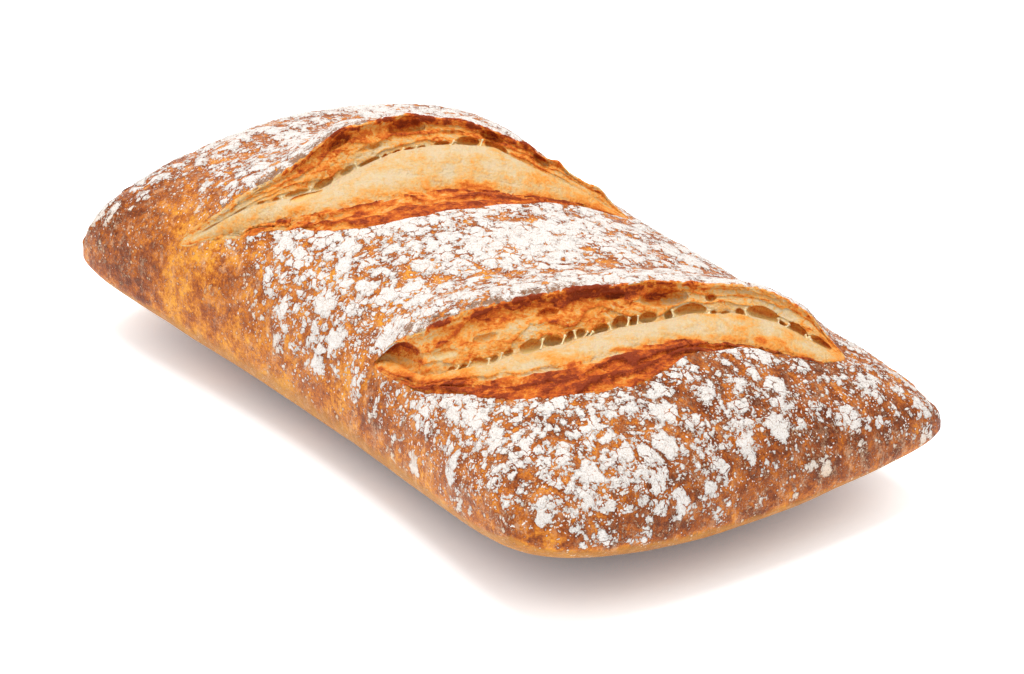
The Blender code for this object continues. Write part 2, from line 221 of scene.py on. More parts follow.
SLASHES = (
    Slash(
        name="slash_near",
        start=(0.024, -0.057),
        end=(0.096, 0.046),
        ear_edge=(
            (0, -0.001), (0.12, 0.006), (0.3, 0.005), (0.5, -0.001), (0.7, -0.008), (0.85, -0.01),
            (0.94, -0.008), (1, -0.004),
        ),
        near_edge=(
            (0, 0.002), (0.1, 0.018), (0.2, 0.028), (0.4, 0.036), (0.55, 0.031), (0.67, 0.017),
            (0.8, 0.009), (0.93, 0.0065), (1, 0.003),
        ),
        ear_height=(
            (0, 0.001), (0.1, 0.0045), (0.45, 0.0055), (0.7, 0.0065), (0.83, 0.008), (0.93, 0.0055),
            (1, 0.001),
        ),
        ear_reach=((0, 0.026), (1, 0.026)),
        peaks=(Peak(0.43, 0.6, 7.0), Peak(0.6, 0.7, 6.0)),
        row_share=(
            (0, 0.45), (0.2, 0.42), (0.35, 0.32), (0.5, 0.22), (0.7, 0.24), (0.85, 0.3), (1, 0.45),
        ),
        row_height=(
            (0, -0.002), (0.1, -0.0028), (0.2, -0.003), (0.35, -0.003), (0.5, -0.003), (0.62, -0.001),
            (0.77, 0.0015), (0.9, 0.0012), (1, 0.0),
        ),
        crumb_end=(
            (0, 0.8), (0.1, 0.6), (0.2, 0.52), (0.32, 0.5), (0.47, 0.5), (0.57, 0.46), (0.64, 0.58),
            (0.7, 0.78), (0.82, 0.9), (1, 0.92),
        ),
        lip_toast=(
            (0, 0.42), (0.06, 0.5), (0.14, 0.66), (0.25, 0.74), (0.38, 0.66), (0.46, 0.86), (0.55, 0.8),
            (0.63, 0.7), (0.7, 0.52), (1, 0.44),
        ),
        crumb_toast=(
            (0, 0.42), (0.14, 0.38), (0.24, 0.18), (0.4, 0.0), (0.6, 0.03), (0.75, 0.16), (0.9, 0.12),
            (1, 0.2),
        ),
        band_toast=(
            (0, -0.1), (0.1, 0.0), (0.25, 0.12), (0.6, 0.14), (0.7, 0.08), (0.82, -0.02), (0.92, -0.16),
            (1, -0.24),
        ),
        lip_flour=(
            (0, 0.0), (0.04, 0.55), (0.1, 0.8), (0.3, 0.6), (0.38, 0.2), (0.5, 0.1), (0.75, 0.35),
            (1, 0.2),
        ),
        bubbles=(
            Bubble(0.15, 3.4, 1.2, 0.8, 3.2),
            Bubble(0.165, 1.0, 0.9, 1.2, -0.6),
            Bubble(0.188, 1.2, 1.0, 1.6, -0.8),
            Bubble(0.222, 2.2, 1.3, 1.2, -0.2),
            Bubble(0.252, 1.0, 1.0, 1.8),
            Bubble(0.282, 1.1, 0.9, 1.6, 0.4),
            Bubble(0.328, 2.8, 2.0, 3.2, -0.3),
            Bubble(0.375, 2.5, 1.6, 3.6),
            Bubble(0.41, 1.4, 1.3, 3.0, 0.2),
            Bubble(0.434, 1.3, 1.3, 3.0, 0.2),
            Bubble(0.45, 0.5, 0.6, 1.2),
            Bubble(0.476, 2.2, 1.3, 3.2),
            Bubble(0.518, 2.2, 1.8, 3.6, -0.2),
            Bubble(0.547, 1.1, 1.4, 3.0),
            Bubble(0.578, 2.5, 1.5, 3.4, 0.3),
            Bubble(0.622, 1.2, 1.3, 2.6),
            Bubble(0.67, 4.4, 1.7, 3.0),
            Bubble(0.72, 0.7, 0.7, 1.2),
            Bubble(0.745, 1.2, 0.5, 1.0),
            Bubble(0.777, 1.2, 1.2, 2.4, -0.2),
            Bubble(0.828, 4.4, 2.1, 3.2, 0.2),
            Bubble(0.868, 1.3, 1.3, 2.4, -0.7),
            Bubble(0.902, 2.6, 1.9, 3.0, -0.4),
            Bubble(0.925, 0.7, 0.8, 1.4, -0.5),
            Bubble(0.95, 3.0, 1.7, 2.6, -0.3),
        ),
        pockets=(
            Pocket(0.055, 0.6, 6.2, 3.4, 6.0, 0.36),
            Pocket(0.365, 0.35, 3.0, 1.3, 1.6, 0.34),
            Pocket(0.235, 0.55, 3.4, 1.2, 1.2, 0.16),
            Pocket(0.615, 0.42, 6.6, 2.6, 3.2, 0.34),
            Pocket(0.715, 0.4, 1.4, 1.3, 1.8, 0.34),
            Pocket(0.5, 0.22, 4.0, 0.9, 1.0, 0.2),
        ),
        scorches=(
            Scorch(0.06, 0.7, 8.0, 6.0, 0.1),
            Scorch(0.33, 0.1, 16.0, 3.0, 0.2),
            Scorch(0.44, 0.14, 11.0, 4.0, 0.34),
            Scorch(0.49, 0.36, 9.0, 2.0, -0.16),
            Scorch(0.56, 0.15, 8.0, 2.5, 0.24),
            Scorch(0.3, 0.52, 8.0, 2.6, -0.22),
            Scorch(0.8, 0.45, 14.0, 4.0, -0.18),
            Scorch(0.68, 0.75, 8.0, 2.0, -0.12),
            Scorch(0.2, 0.35, 5.0, 1.6, 0.22),
            Scorch(0.815, 1.55, 2.0, 1.3, 0.62),
            Scorch(0.42, 1.22, 12.0, 3.0, 0.14),
            Scorch(0.6, 1.45, 6.0, 3.0, 0.12),
        ),
        seed=11,
    ),
    Slash(
        name="slash_far",
        start=(-0.065, -0.062),
        end=(0.012, 0.04),
        ear_edge=(
            (0, -0.002), (0.09, 0.002), (0.22, -0.003), (0.36, -0.013), (0.5, -0.02), (0.65, -0.023),
            (0.8, -0.018), (0.88, -0.015), (0.94, -0.012), (1, -0.008),
        ),
        near_edge=(
            (0, 0.001), (0.19, 0.011), (0.4, 0.02), (0.6, 0.016), (0.75, 0.006), (0.88, -0.002),
            (1, -0.004),
        ),
        ear_height=(
            (0, 0.001), (0.1, 0.004), (0.22, 0.0052), (0.36, 0.0098), (0.5, 0.0115), (0.66, 0.011),
            (0.8, 0.0075), (1, 0.001),
        ),
        ear_reach=((0, 0.026), (0.4, 0.032), (0.6, 0.015), (1, 0.012)),
        peaks=(
            Peak(0.365, 0.9, 4.5), Peak(0.505, 0.9, 5.0), Peak(0.77, 1.2, 2.6), Peak(0.84, 1.2, 2.0),
            Peak(0.93, 1.4, 2.2),
        ),
        row_share=(
            (0, 0.3), (0.2, 0.3), (0.32, 0.25), (0.45, 0.17), (0.6, 0.15), (0.72, 0.14), (0.8, 0.2),
            (1, 0.3),
        ),
        row_height=(
            (0, 0.0), (0.1, 0.0015), (0.2, 0.0012), (0.32, -0.0012), (0.42, 0.0018), (0.58, 0.0055),
            (0.7, 0.0062), (0.78, 0.004), (0.9, 0.002), (1, 0.0),
        ),
        crumb_end=(
            (0, 0.9), (0.12, 0.72), (0.24, 0.64), (0.4, 0.57), (0.55, 0.54), (0.68, 0.58), (0.8, 0.68),
            (1, 0.85),
        ),
        lip_toast=(
            (0, 0.2), (0.12, 0.24), (0.22, 0.46), (0.33, 0.72), (0.42, 0.62), (0.5, 0.76), (0.6, 0.66),
            (0.72, 0.74), (0.8, 0.78), (0.86, 0.46), (1, 0.32),
        ),
        crumb_toast=(
            (0, 0.28), (0.12, 0.1), (0.25, 0.0), (0.45, 0.04), (0.7, 0.06), (0.82, 0.16), (0.92, 0.3),
            (1, 0.4),
        ),
        band_toast=(
            (0, -0.46), (0.12, -0.38), (0.25, -0.16), (0.4, 0.0), (0.6, 0.06), (0.8, 0.08), (1, 0.0),
        ),
        lip_flour=(
            (0, 0.0), (0.2, 0.1), (0.28, 0.5), (0.36, 0.4), (0.45, 0.2), (0.6, 0.45), (0.8, 0.2),
            (1, 0.0),
        ),
        bubbles=(
            Bubble(0.075, 2.8, 0.4, 0.7),
            Bubble(0.14, 1.8, 0.4, 0.8, 0.3),
            Bubble(0.185, 1.1, 0.5, 0.8, 0.2),
            Bubble(0.218, 1.0, 0.6, 1.0),
            Bubble(0.262, 3.2, 0.8, 1.4, 0.2),
            Bubble(0.285, 4.6, 2.4, 2.0, -5.4),
            Bubble(0.32, 2.7, 1.4, 2.4),
            Bubble(0.372, 1.9, 1.1, 1.8, 0.3),
            Bubble(0.42, 2.8, 0.9, 2.4),
            Bubble(0.455, 0.9, 0.6, 1.5),
            Bubble(0.48, 1.2, 0.6, 1.5),
            Bubble(0.508, 1.3, 0.6, 1.4, 0.1),
            Bubble(0.535, 1.0, 0.6, 1.3, 0.1),
            Bubble(0.58, 2.2, 1.0, 2.6),
            Bubble(0.636, 3.3, 1.6, 3.4, 0.1),
            Bubble(0.7, 3.3, 1.5, 3.0, 0.1),
            Bubble(0.758, 2.0, 0.9, 2.2, -0.6),
        ),
        pockets=(
            Pocket(0.355, 0.2, 3.6, 1.7, 2.0, 0.22),
            Pocket(0.5, 0.28, 5.4, 2.4, 2.4, 0.24),
            Pocket(0.69, 0.3, 3.2, 1.8, 2.0, 0.3),
            Pocket(0.8, 0.3, 2.2, 1.6, 1.5, 0.28),
            Pocket(0.42, 0.6, 3.5, 0.9, 0.9, 0.16),
            Pocket(0.6, 0.45, 4.0, 0.8, 0.8, 0.12),
        ),
        scorches=(
            Scorch(0.36, 0.18, 7.0, 3.0, 0.22),
            Scorch(0.5, 0.2, 10.0, 4.0, 0.16),
            Scorch(0.66, 0.2, 12.0, 4.0, 0.06),
            Scorch(0.1, 0.6, 12.0, 8.0, -0.06),
            Scorch(0.45, 0.75, 10.0, 2.0, -0.1),
            Scorch(0.66, 1.5, 5.0, 2.0, 0.22),
        ),
        seed=23,
    ),
)


class Dusting(NamedTuple):
    """A soft-edged area of the crust: centre and radii in mm, and what it adds to flour and browning."""

    x: float
    y: float
    reach_x: float
    reach_y: float
    flour: float
    toast: float


DUSTINGS = (
    Dusting(18, 0, 34, 46, 0.12, -0.06),
    Dusting(30, 28, 30, 30, 0.05, 0.0),
    Dusting(-4, -46, 22, 14, 0.06, -0.06),
    Dusting(-80, -5, 34, 48, 0.12, 0.0),
    Dusting(-78, 30, 30, 30, 0.18, -0.04),
    Dusting(84, -38, 26, 24, 0.02, 0.08),
    Dusting(70, -60, 24, 12, 0.20, 0.0),
    Dusting(92, 6, 26, 40, -0.14, 0.16),
    Dusting(112, -6, 12, 50, 0.20, 0.10),
    Dusting(-58, -60, 24, 13, -0.62, -0.04),
    Dusting(-62, -60, 11, 8, 0.0, -0.26),
    Dusting(-95, -66, 24, 18, -0.28, 0.26),
    Dusting(118, 45, 24, 30, -0.20, 0.16),
    Dusting(119, 5, 8, 60, -0.08, 0.14),
    Dusting(104, -72, 18, 12, -0.22, 0.12),
    Dusting(-20, -68, 60, 6, -0.26, 0.06),
    Dusting(60, -66, 50, 6, -0.20, 0.06),
)


def smooth_curve(stations, at):
    """A smooth curve through the stations, read at the given shares."""
    places, values = np.array(stations, float).T
    slopes = np.gradient(values, places)
    cell = np.clip(np.searchsorted(places, at, side="right") - 1, 0, len(places) - 2)
    gap = places[cell + 1] - places[cell]
    part = np.clip((at - places[cell]) / gap, 0, 1)
    ease = part * part * (3 - 2 * part)
    pull = slopes[cell] * (1 - part) - slopes[cell + 1] * part
    return values[cell] + (values[cell + 1] - values[cell]) * ease + gap * part * (1 - part) * pull


def eased(value, low, high):
    """From 0 to 1 with soft ends as the value goes from low to high."""
    part = np.clip((value - low) / (high - low), 0, 1)
    return part * part * (3 - 2 * part)


def zone(value, rise_from, rise_to, fall_from, fall_to):
    """1 between a soft rise and a soft fall, and 0 outside them."""
    return eased(value, rise_from, rise_to) * (1 - eased(value, fall_from, fall_to))


def hashed(cells, seed):
    """A repeatable number from 0 to 1 for each whole-numbered cell."""
    mixed = cells[..., 0] * 73856093 ^ cells[..., 1] * 19349663 ^ cells[..., 2] * 83492791
    mixed = (mixed ^ (seed * 668265263)) & 0xFFFFFFFF
    for turn in (15, 12, 16):
        mixed = ((mixed ^ (mixed >> turn)) * 739982445) & 0xFFFFFFFF
    return (mixed >> 8) / float(1 << 24)


def value_noise(points, size, seed):
    """Smooth noise from -1 to 1 with lumps of the given size."""
    scaled = points / size
    base = np.floor(scaled).astype(np.int64)
    part = scaled - base
    part = part * part * (3 - 2 * part)
    total = np.zeros(points.shape[:-1])
    for step_x in (0, 1):
        for step_y in (0, 1):
            for step_z in (0, 1):
                steps = np.array((step_x, step_y, step_z))
                weight = np.prod(np.where(steps, part, 1 - part), axis=-1)
                total += weight * hashed(base + steps, seed)
    return 2 * total - 1


def layered_noise(points, size, seed, layers=3):
    """Value noise with finer and weaker layers on top."""
    total = 0
    reach = 0
    for layer in range(layers):
        weight = 0.5**layer
        total = total + weight * value_noise(points, size * 0.5**layer, seed + 31 * layer)
        reach += weight
    return total / reach


def cell_field(points, size, seed):
    """Distance to the nearest and the second nearest scattered seed, and a number for the nearest."""
    scaled = points / size
    base = np.floor(scaled).astype(np.int64)
    nearest = np.full(points.shape[:-1], 9.0)
    second = np.full(points.shape[:-1], 9.0)
    mark = np.zeros(points.shape[:-1])
    for step_x in (-1, 0, 1):
        for step_y in (-1, 0, 1):
            for step_z in (-1, 0, 1):
                cells = base + np.array((step_x, step_y, step_z))
                centre = cells + np.stack([hashed(cells, seed + axis) for axis in range(3)], axis=-1)
                away = np.linalg.norm(scaled - centre, axis=-1)
                closer = away < nearest
                second = np.where(closer, nearest, np.minimum(second, away))
                mark = np.where(closer, hashed(cells, seed + 7), mark)
                nearest = np.where(closer, away, nearest)
    return nearest * size, second * size, mark


def corner_share(corner, u, v):
    """How much a place belongs to a corner, from 0 to 1."""
    return ((1 + corner.side_x * u) * (1 + corner.side_y * v) / 4) ** 4


def raw_plan(u, v):
    """Plan position of the flat coordinates u and v, each from -1 to 1."""
    shrink = 1 - np.abs(u * v) ** SQUARENESS / (2 * SQUARENESS + 1)
    along = u * shrink
    across = v * shrink
    x = along * (EDGE_LENGTH / 2 + END_BULGE * (1 - across**2))
    y = across * (END_WIDTH / 2 - WAIST * (1 - along**2)) * (1 + TAPER * along)
    for corner in CORNERS:
        x = x + corner.side_x * corner.stretch * corner_share(corner, u, v)
    return x, y


def plan_middle():
    """Middle of the outline's box."""
    around = np.linspace(-1, 1, 401)
    ends = [raw_plan(side * np.ones_like(around), around)[0] for side in (-1, 1)]
    sides = [raw_plan(around, side * np.ones_like(around))[1] for side in (-1, 1)]
    return (ends[0].min() + ends[1].max()) / 2, (sides[0].min() + sides[1].max()) / 2


MIDDLE = plan_middle()


def rim_height(u, v):
    """Height of the rim below or beside a place."""
    z = RIM_HEIGHT + (CORNER_RIM_HEIGHT - RIM_HEIGHT) * (u * v) ** 2
    for corner in CORNERS:
        z = z + corner.lift * corner_share(corner, u, v)
    return z


def dome_height(u, v):
    """Height of the top before it was slashed."""
    swell = (1 - np.abs(u) ** DOME_POWERS[0]) * (1 - np.abs(v) ** DOME_POWERS[1])
    crown = CROWN_HEIGHT * (1 + CROWN_TILT[0] * u + CROWN_TILT[1] * v)
    rim = rim_height(u, v)
    return rim + (crown - rim) * np.maximum(swell, 0) ** (1 / DOME_FULLNESS)


def under_height(u, v):
    """Height of the underside, which the floor cuts off flat."""
    swell = (1 - np.abs(u) ** UNDER_POWER) * (1 - np.abs(v) ** UNDER_POWER)
    return np.maximum(0, rim_height(u, v) * (1 - UNDER_DEPTH * np.sqrt(np.maximum(swell, 0))))


def flat_of(x, y):
    """The flat coordinates of a plan position, found by repeated correction."""
    half_x = EDGE_LENGTH / 2 + END_BULGE
    half_y = (END_WIDTH - WAIST) / 2
    u = np.clip(x / half_x, -1, 1)
    v = np.clip(y / half_y, -1, 1)
    for _ in range(25):
        at_x, at_y = raw_plan(u, v)
        u = np.clip(u - (at_x - x) / half_x, -1, 1)
        v = np.clip(v - (at_y - y) / half_y, -1, 1)
    return u, v


def chord_frame(slash):
    """Start, direction, rightward normal and length of a slash's chord."""
    start = np.array(slash.start)
    chord = np.array(slash.end) - start
    length = np.linalg.norm(chord)
    ahead = chord / length
    return start, ahead, np.array((ahead[1], -ahead[0])), length


def along_run(slash, share):
    """Distance along the chord, as points for the noise."""
    length = chord_frame(slash)[3]
    return np.stack((share * length, np.zeros_like(share), np.zeros_like(share)), axis=-1)


def from_ends(slash, share):
    """Distance to the nearer end of a slash."""
    return np.minimum(share, 1 - share) * chord_frame(slash)[3]


def edges_at(slash, share):
    """Where the ear and the near edge stand across the chord, uneven and with rounded ends."""
    run = along_run(slash, share)
    calm = eased(from_ends(slash, share), 0.0, CALM_EDGES)
    ear_wobble = 0.7 * MM * layered_noise(run, 9 * MM, slash.seed, 4) * calm
    near_wobble = 1.5 * MM * layered_noise(run, 7 * MM, slash.seed + 1, 4) * calm
    ear_edge = smooth_curve(slash.ear_edge, share) + ear_wobble
    near_edge = np.maximum(smooth_curve(slash.near_edge, share) + near_wobble, ear_edge + 1.5 * MM)
    middle = (ear_edge + near_edge) / 2
    round_off = np.clip(from_ends(slash, share) / END_ROUNDING, 0, 1)
    half = (near_edge - ear_edge) / 2 * np.sqrt(1 - (1 - round_off) ** 2)
    return middle - half, middle + half


def ear_at(slash, share):
    """Height of the ear above the dome, with its waves and peaks."""
    length = chord_frame(slash)[3]
    height = smooth_curve(slash.ear_height, share)
    for peak in slash.peaks:
        away = (share - peak.share) * length / (peak.half_width * MM)
        height = height + peak.height * MM * np.exp(-(away**2))
    height = height + 0.5 * MM * layered_noise(along_run(slash, share), 8 * MM, slash.seed + 2, 4)
    return height * eased(from_ends(slash, share), -2 * MM, 9 * MM)


def chord_place(slash, x, y):
    """Share of the chord and distance across it of a plan position."""
    start, ahead, right, length = chord_frame(slash)
    share = ((x - start[0]) * ahead[0] + (y - start[1]) * ahead[1]) / length
    across = (x - start[0]) * right[0] + (y - start[1]) * right[1]
    return share, across


def ear_lift(slash, x, y):
    """How far the crust behind a slash has lifted."""
    share, across = chord_place(slash, x, y)
    inside = (share > 0) & (share < 1)
    share = np.clip(share, 0, 1)
    ear_edge, near_edge = edges_at(slash, share)
    behind = np.clip(1 + (across - ear_edge) / smooth_curve(slash.ear_reach, share), 0, 1)
    lift = ear_at(slash, share) * behind**2 * (3 - 2 * behind)
    front = np.clip((near_edge - across) / (near_edge - ear_edge), 0, 1)
    return np.where(inside, np.where(across < ear_edge, lift, lift * front), 0.0)


def opening_depth(slash, x, y):
    """Distance inside a slash's opening, negative outside it."""
    share, across = chord_place(slash, x, y)
    length = chord_frame(slash)[3]
    ear_edge, near_edge = edges_at(slash, np.clip(share, 0, 1))
    beyond = np.maximum(np.maximum(-share, share - 1), 0) * length
    return np.minimum(across - ear_edge, near_edge - across) - beyond


def grid_faces(columns, rows):
    """Quads of a grid of points, by column and then by row."""
    index = np.arange(columns * rows).reshape(columns, rows)
    corners = (index[:-1, :-1], index[1:, :-1], index[1:, 1:], index[:-1, 1:])
    return np.stack(corners, axis=-1).reshape(-1, 4)


def grid_normals(points):
    """Unit normals of a grid of points."""
    normals = np.cross(np.gradient(points, axis=0), np.gradient(points, axis=1))
    return normals / np.maximum(np.linalg.norm(normals, axis=-1, keepdims=True), 1e-12)


def mesh_piece(name, points, faces, fields=None):
    """A smooth-shaded mesh object with a number for each point in each named field."""
    mesh = bpy.data.meshes.new(name)
    mesh.from_pydata(points.tolist(), [], faces)
    for field, values in (fields or {}).items():
        layer = mesh.attributes.new(field, "FLOAT", "POINT")
        layer.data.foreach_set("value", np.ascontiguousarray(values, np.float32).ravel())
    mesh.shade_smooth()
    piece = bpy.data.objects.new(name, mesh)
    bpy.context.scene.collection.objects.link(piece)
    return piece


def finish_piece(piece, material):
    """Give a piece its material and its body."""
    piece.data.materials.clear()
    piece.data.materials.append(material)
    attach(piece, BODY)


def srgb(red, green, blue):
    """A linear colour from display values of 0 to 255."""
    channels = []
    for value in (red, green, blue):
        part = value / 255
        channels.append(part / 12.92 if part <= 0.04045 else ((part + 0.055) / 1.055) ** 2.4)
    return (*channels, 1.0)


class NodeBuilder:
    """Short ways to add and join the nodes of one material."""

    def __init__(self, name):
        self.material = bpy.data.materials.new(name)
        self.material.use_nodes = True
        self.tree = self.material.node_tree
        self.surface = self.tree.nodes["Principled BSDF"]
        self.place = self.tree.nodes.new("ShaderNodeTexCoord").outputs["Object"]

    def join(self, source, target):
        """Link an output to an input."""
        self.tree.links.new(source, target)

    def finished(self, sockets):
        """The material, once the named sockets of its surface are set or linked."""
        for name, value in sockets.items():
            self.feed(self.surface.inputs[name], value)
        return self.material

    def feed(self, socket, value):
        """Link an output to a socket, or set the socket to a value."""
        if isinstance(value, bpy.types.NodeSocket):
            self.join(value, socket)
        else:
            socket.default_value = value

    def field(self, name):
        """A number that the mesh holds for each point."""
        node = self.tree.nodes.new("ShaderNodeAttribute")
        node.attribute_name = name
        return node.outputs["Fac"]

    def noise(self, scale, detail=4.0, roughness=0.55, place=None):
        """Noise from 0 to 1."""
        node = self.tree.nodes.new("ShaderNodeTexNoise")
        node.inputs["Scale"].default_value = scale
        node.inputs["Detail"].default_value = detail
        node.inputs["Roughness"].default_value = roughness
        self.join(place or self.place, node.inputs["Vector"])
        return node.outputs["Fac"]

    def cells(self, scale, feature="F1", place=None):
        """Distance to the nearest cell's middle, or to its edge."""
        node = self.tree.nodes.new("ShaderNodeTexVoronoi")
        node.feature = feature
        node.inputs["Scale"].default_value = scale
        self.join(place or self.place, node.inputs["Vector"])
        return node.outputs["Distance"]

    def stretched(self, scale, turn):
        """Coordinates that draw a pattern out along a direction."""
        node = self.tree.nodes.new("ShaderNodeMapping")
        node.vector_type = "TEXTURE"
        node.inputs["Scale"].default_value = scale
        node.inputs["Rotation"].default_value = (0.0, 0.0, turn)
        self.join(self.place, node.inputs["Vector"])
        return node.outputs["Vector"]

    def warped(self, reach, scale=180.0):
        """Coordinates shaken by noise, which makes a pattern's lines uneven."""
        node = self.tree.nodes.new("ShaderNodeTexNoise")
        node.inputs["Scale"].default_value = scale
        self.join(self.place, node.inputs["Vector"])
        shift = self.tree.nodes.new("ShaderNodeVectorMath")
        shift.operation = "MULTIPLY_ADD"
        self.join(node.outputs["Color"], shift.inputs[0])
        shift.inputs[1].default_value = (2 * reach, 2 * reach, 2 * reach)
        self.join(self.place, shift.inputs[2])
        return shift.outputs["Vector"]

    def off_centre(self, value, gain):
        """Noise around zero, made stronger or weaker."""
        return self.times(self.minus(value, 0.5), gain)

    def spots(self, scale, smallest, largest, place=None):
        """How far inside round spots of uneven size each place lies, in cells."""
        node = self.tree.nodes.new("ShaderNodeTexVoronoi")
        node.inputs["Scale"].default_value = scale
        self.join(place or self.place, node.inputs["Vector"])
        parts = self.tree.nodes.new("ShaderNodeSeparateColor")
        self.join(node.outputs["Color"], parts.inputs["Color"])
        radius = self.math("MULTIPLY_ADD", parts.outputs[0], largest - smallest, smallest)
        return self.math("SUBTRACT", radius, node.outputs["Distance"])

    def plus(self, first, *others):
        """The sum of the values."""
        for other in others:
            first = self.math("ADD", first, other)
        return first

    def times(self, first, *others):
        """The product of the values."""
        for other in others:
            first = self.math("MULTIPLY", first, other)
        return first

    def minus(self, first, second):
        """The first value less the second."""
        return self.math("SUBTRACT", first, second)

    def math(self, operation, first, second=0.0, third=0.0, clamp=False):
        """One step of arithmetic."""
        node = self.tree.nodes.new("ShaderNodeMath")
        node.operation = operation
        node.use_clamp = clamp
        for socket, value in zip(node.inputs, (first, second, third)):
            self.feed(socket, value)
        return node.outputs["Value"]

    def between(self, value, low, high, to_low=0.0, to_high=1.0):
        """A soft step from one level to another as the value goes from low to high."""
        node = self.tree.nodes.new("ShaderNodeMapRange")
        node.interpolation_type = "SMOOTHSTEP"
        names = ("Value", "From Min", "From Max", "To Min", "To Max")
        for name, given in zip(names, (value, low, high, to_low, to_high)):
            self.feed(node.inputs[name], given)
        return node.outputs["Result"]

    def ramp(self, value, stops):
        """A colour that runs through the stops."""
        node = self.tree.nodes.new("ShaderNodeValToRGB")
        elements = node.color_ramp.elements
        while len(elements) < len(stops):
            elements.new(0.5)
        for element, (position, colour) in zip(elements, stops):
            element.position = position
            element.color = colour
        self.join(value, node.inputs["Fac"])
        return node.outputs["Color"]

    def mix(self, share, first, second):
        """The first colour with a share of the second."""
        node = self.tree.nodes.new("ShaderNodeMix")
        node.data_type = "RGBA"
        self.feed(node.inputs["Factor"], share)
        self.feed(node.inputs[6], first)
        self.feed(node.inputs[7], second)
        return node.outputs[2]

    def bump(self, height, distance, strength, below=None):
        """Normals of a fine relief, on top of another one if it is given."""
        node = self.tree.nodes.new("ShaderNodeBump")
        node.inputs["Distance"].default_value = distance
        node.inputs["Strength"].default_value = strength
        self.join(height, node.inputs["Height"])
        if below is not None:
            self.join(below, node.inputs["Normal"])
        return node.outputs["Normal"]


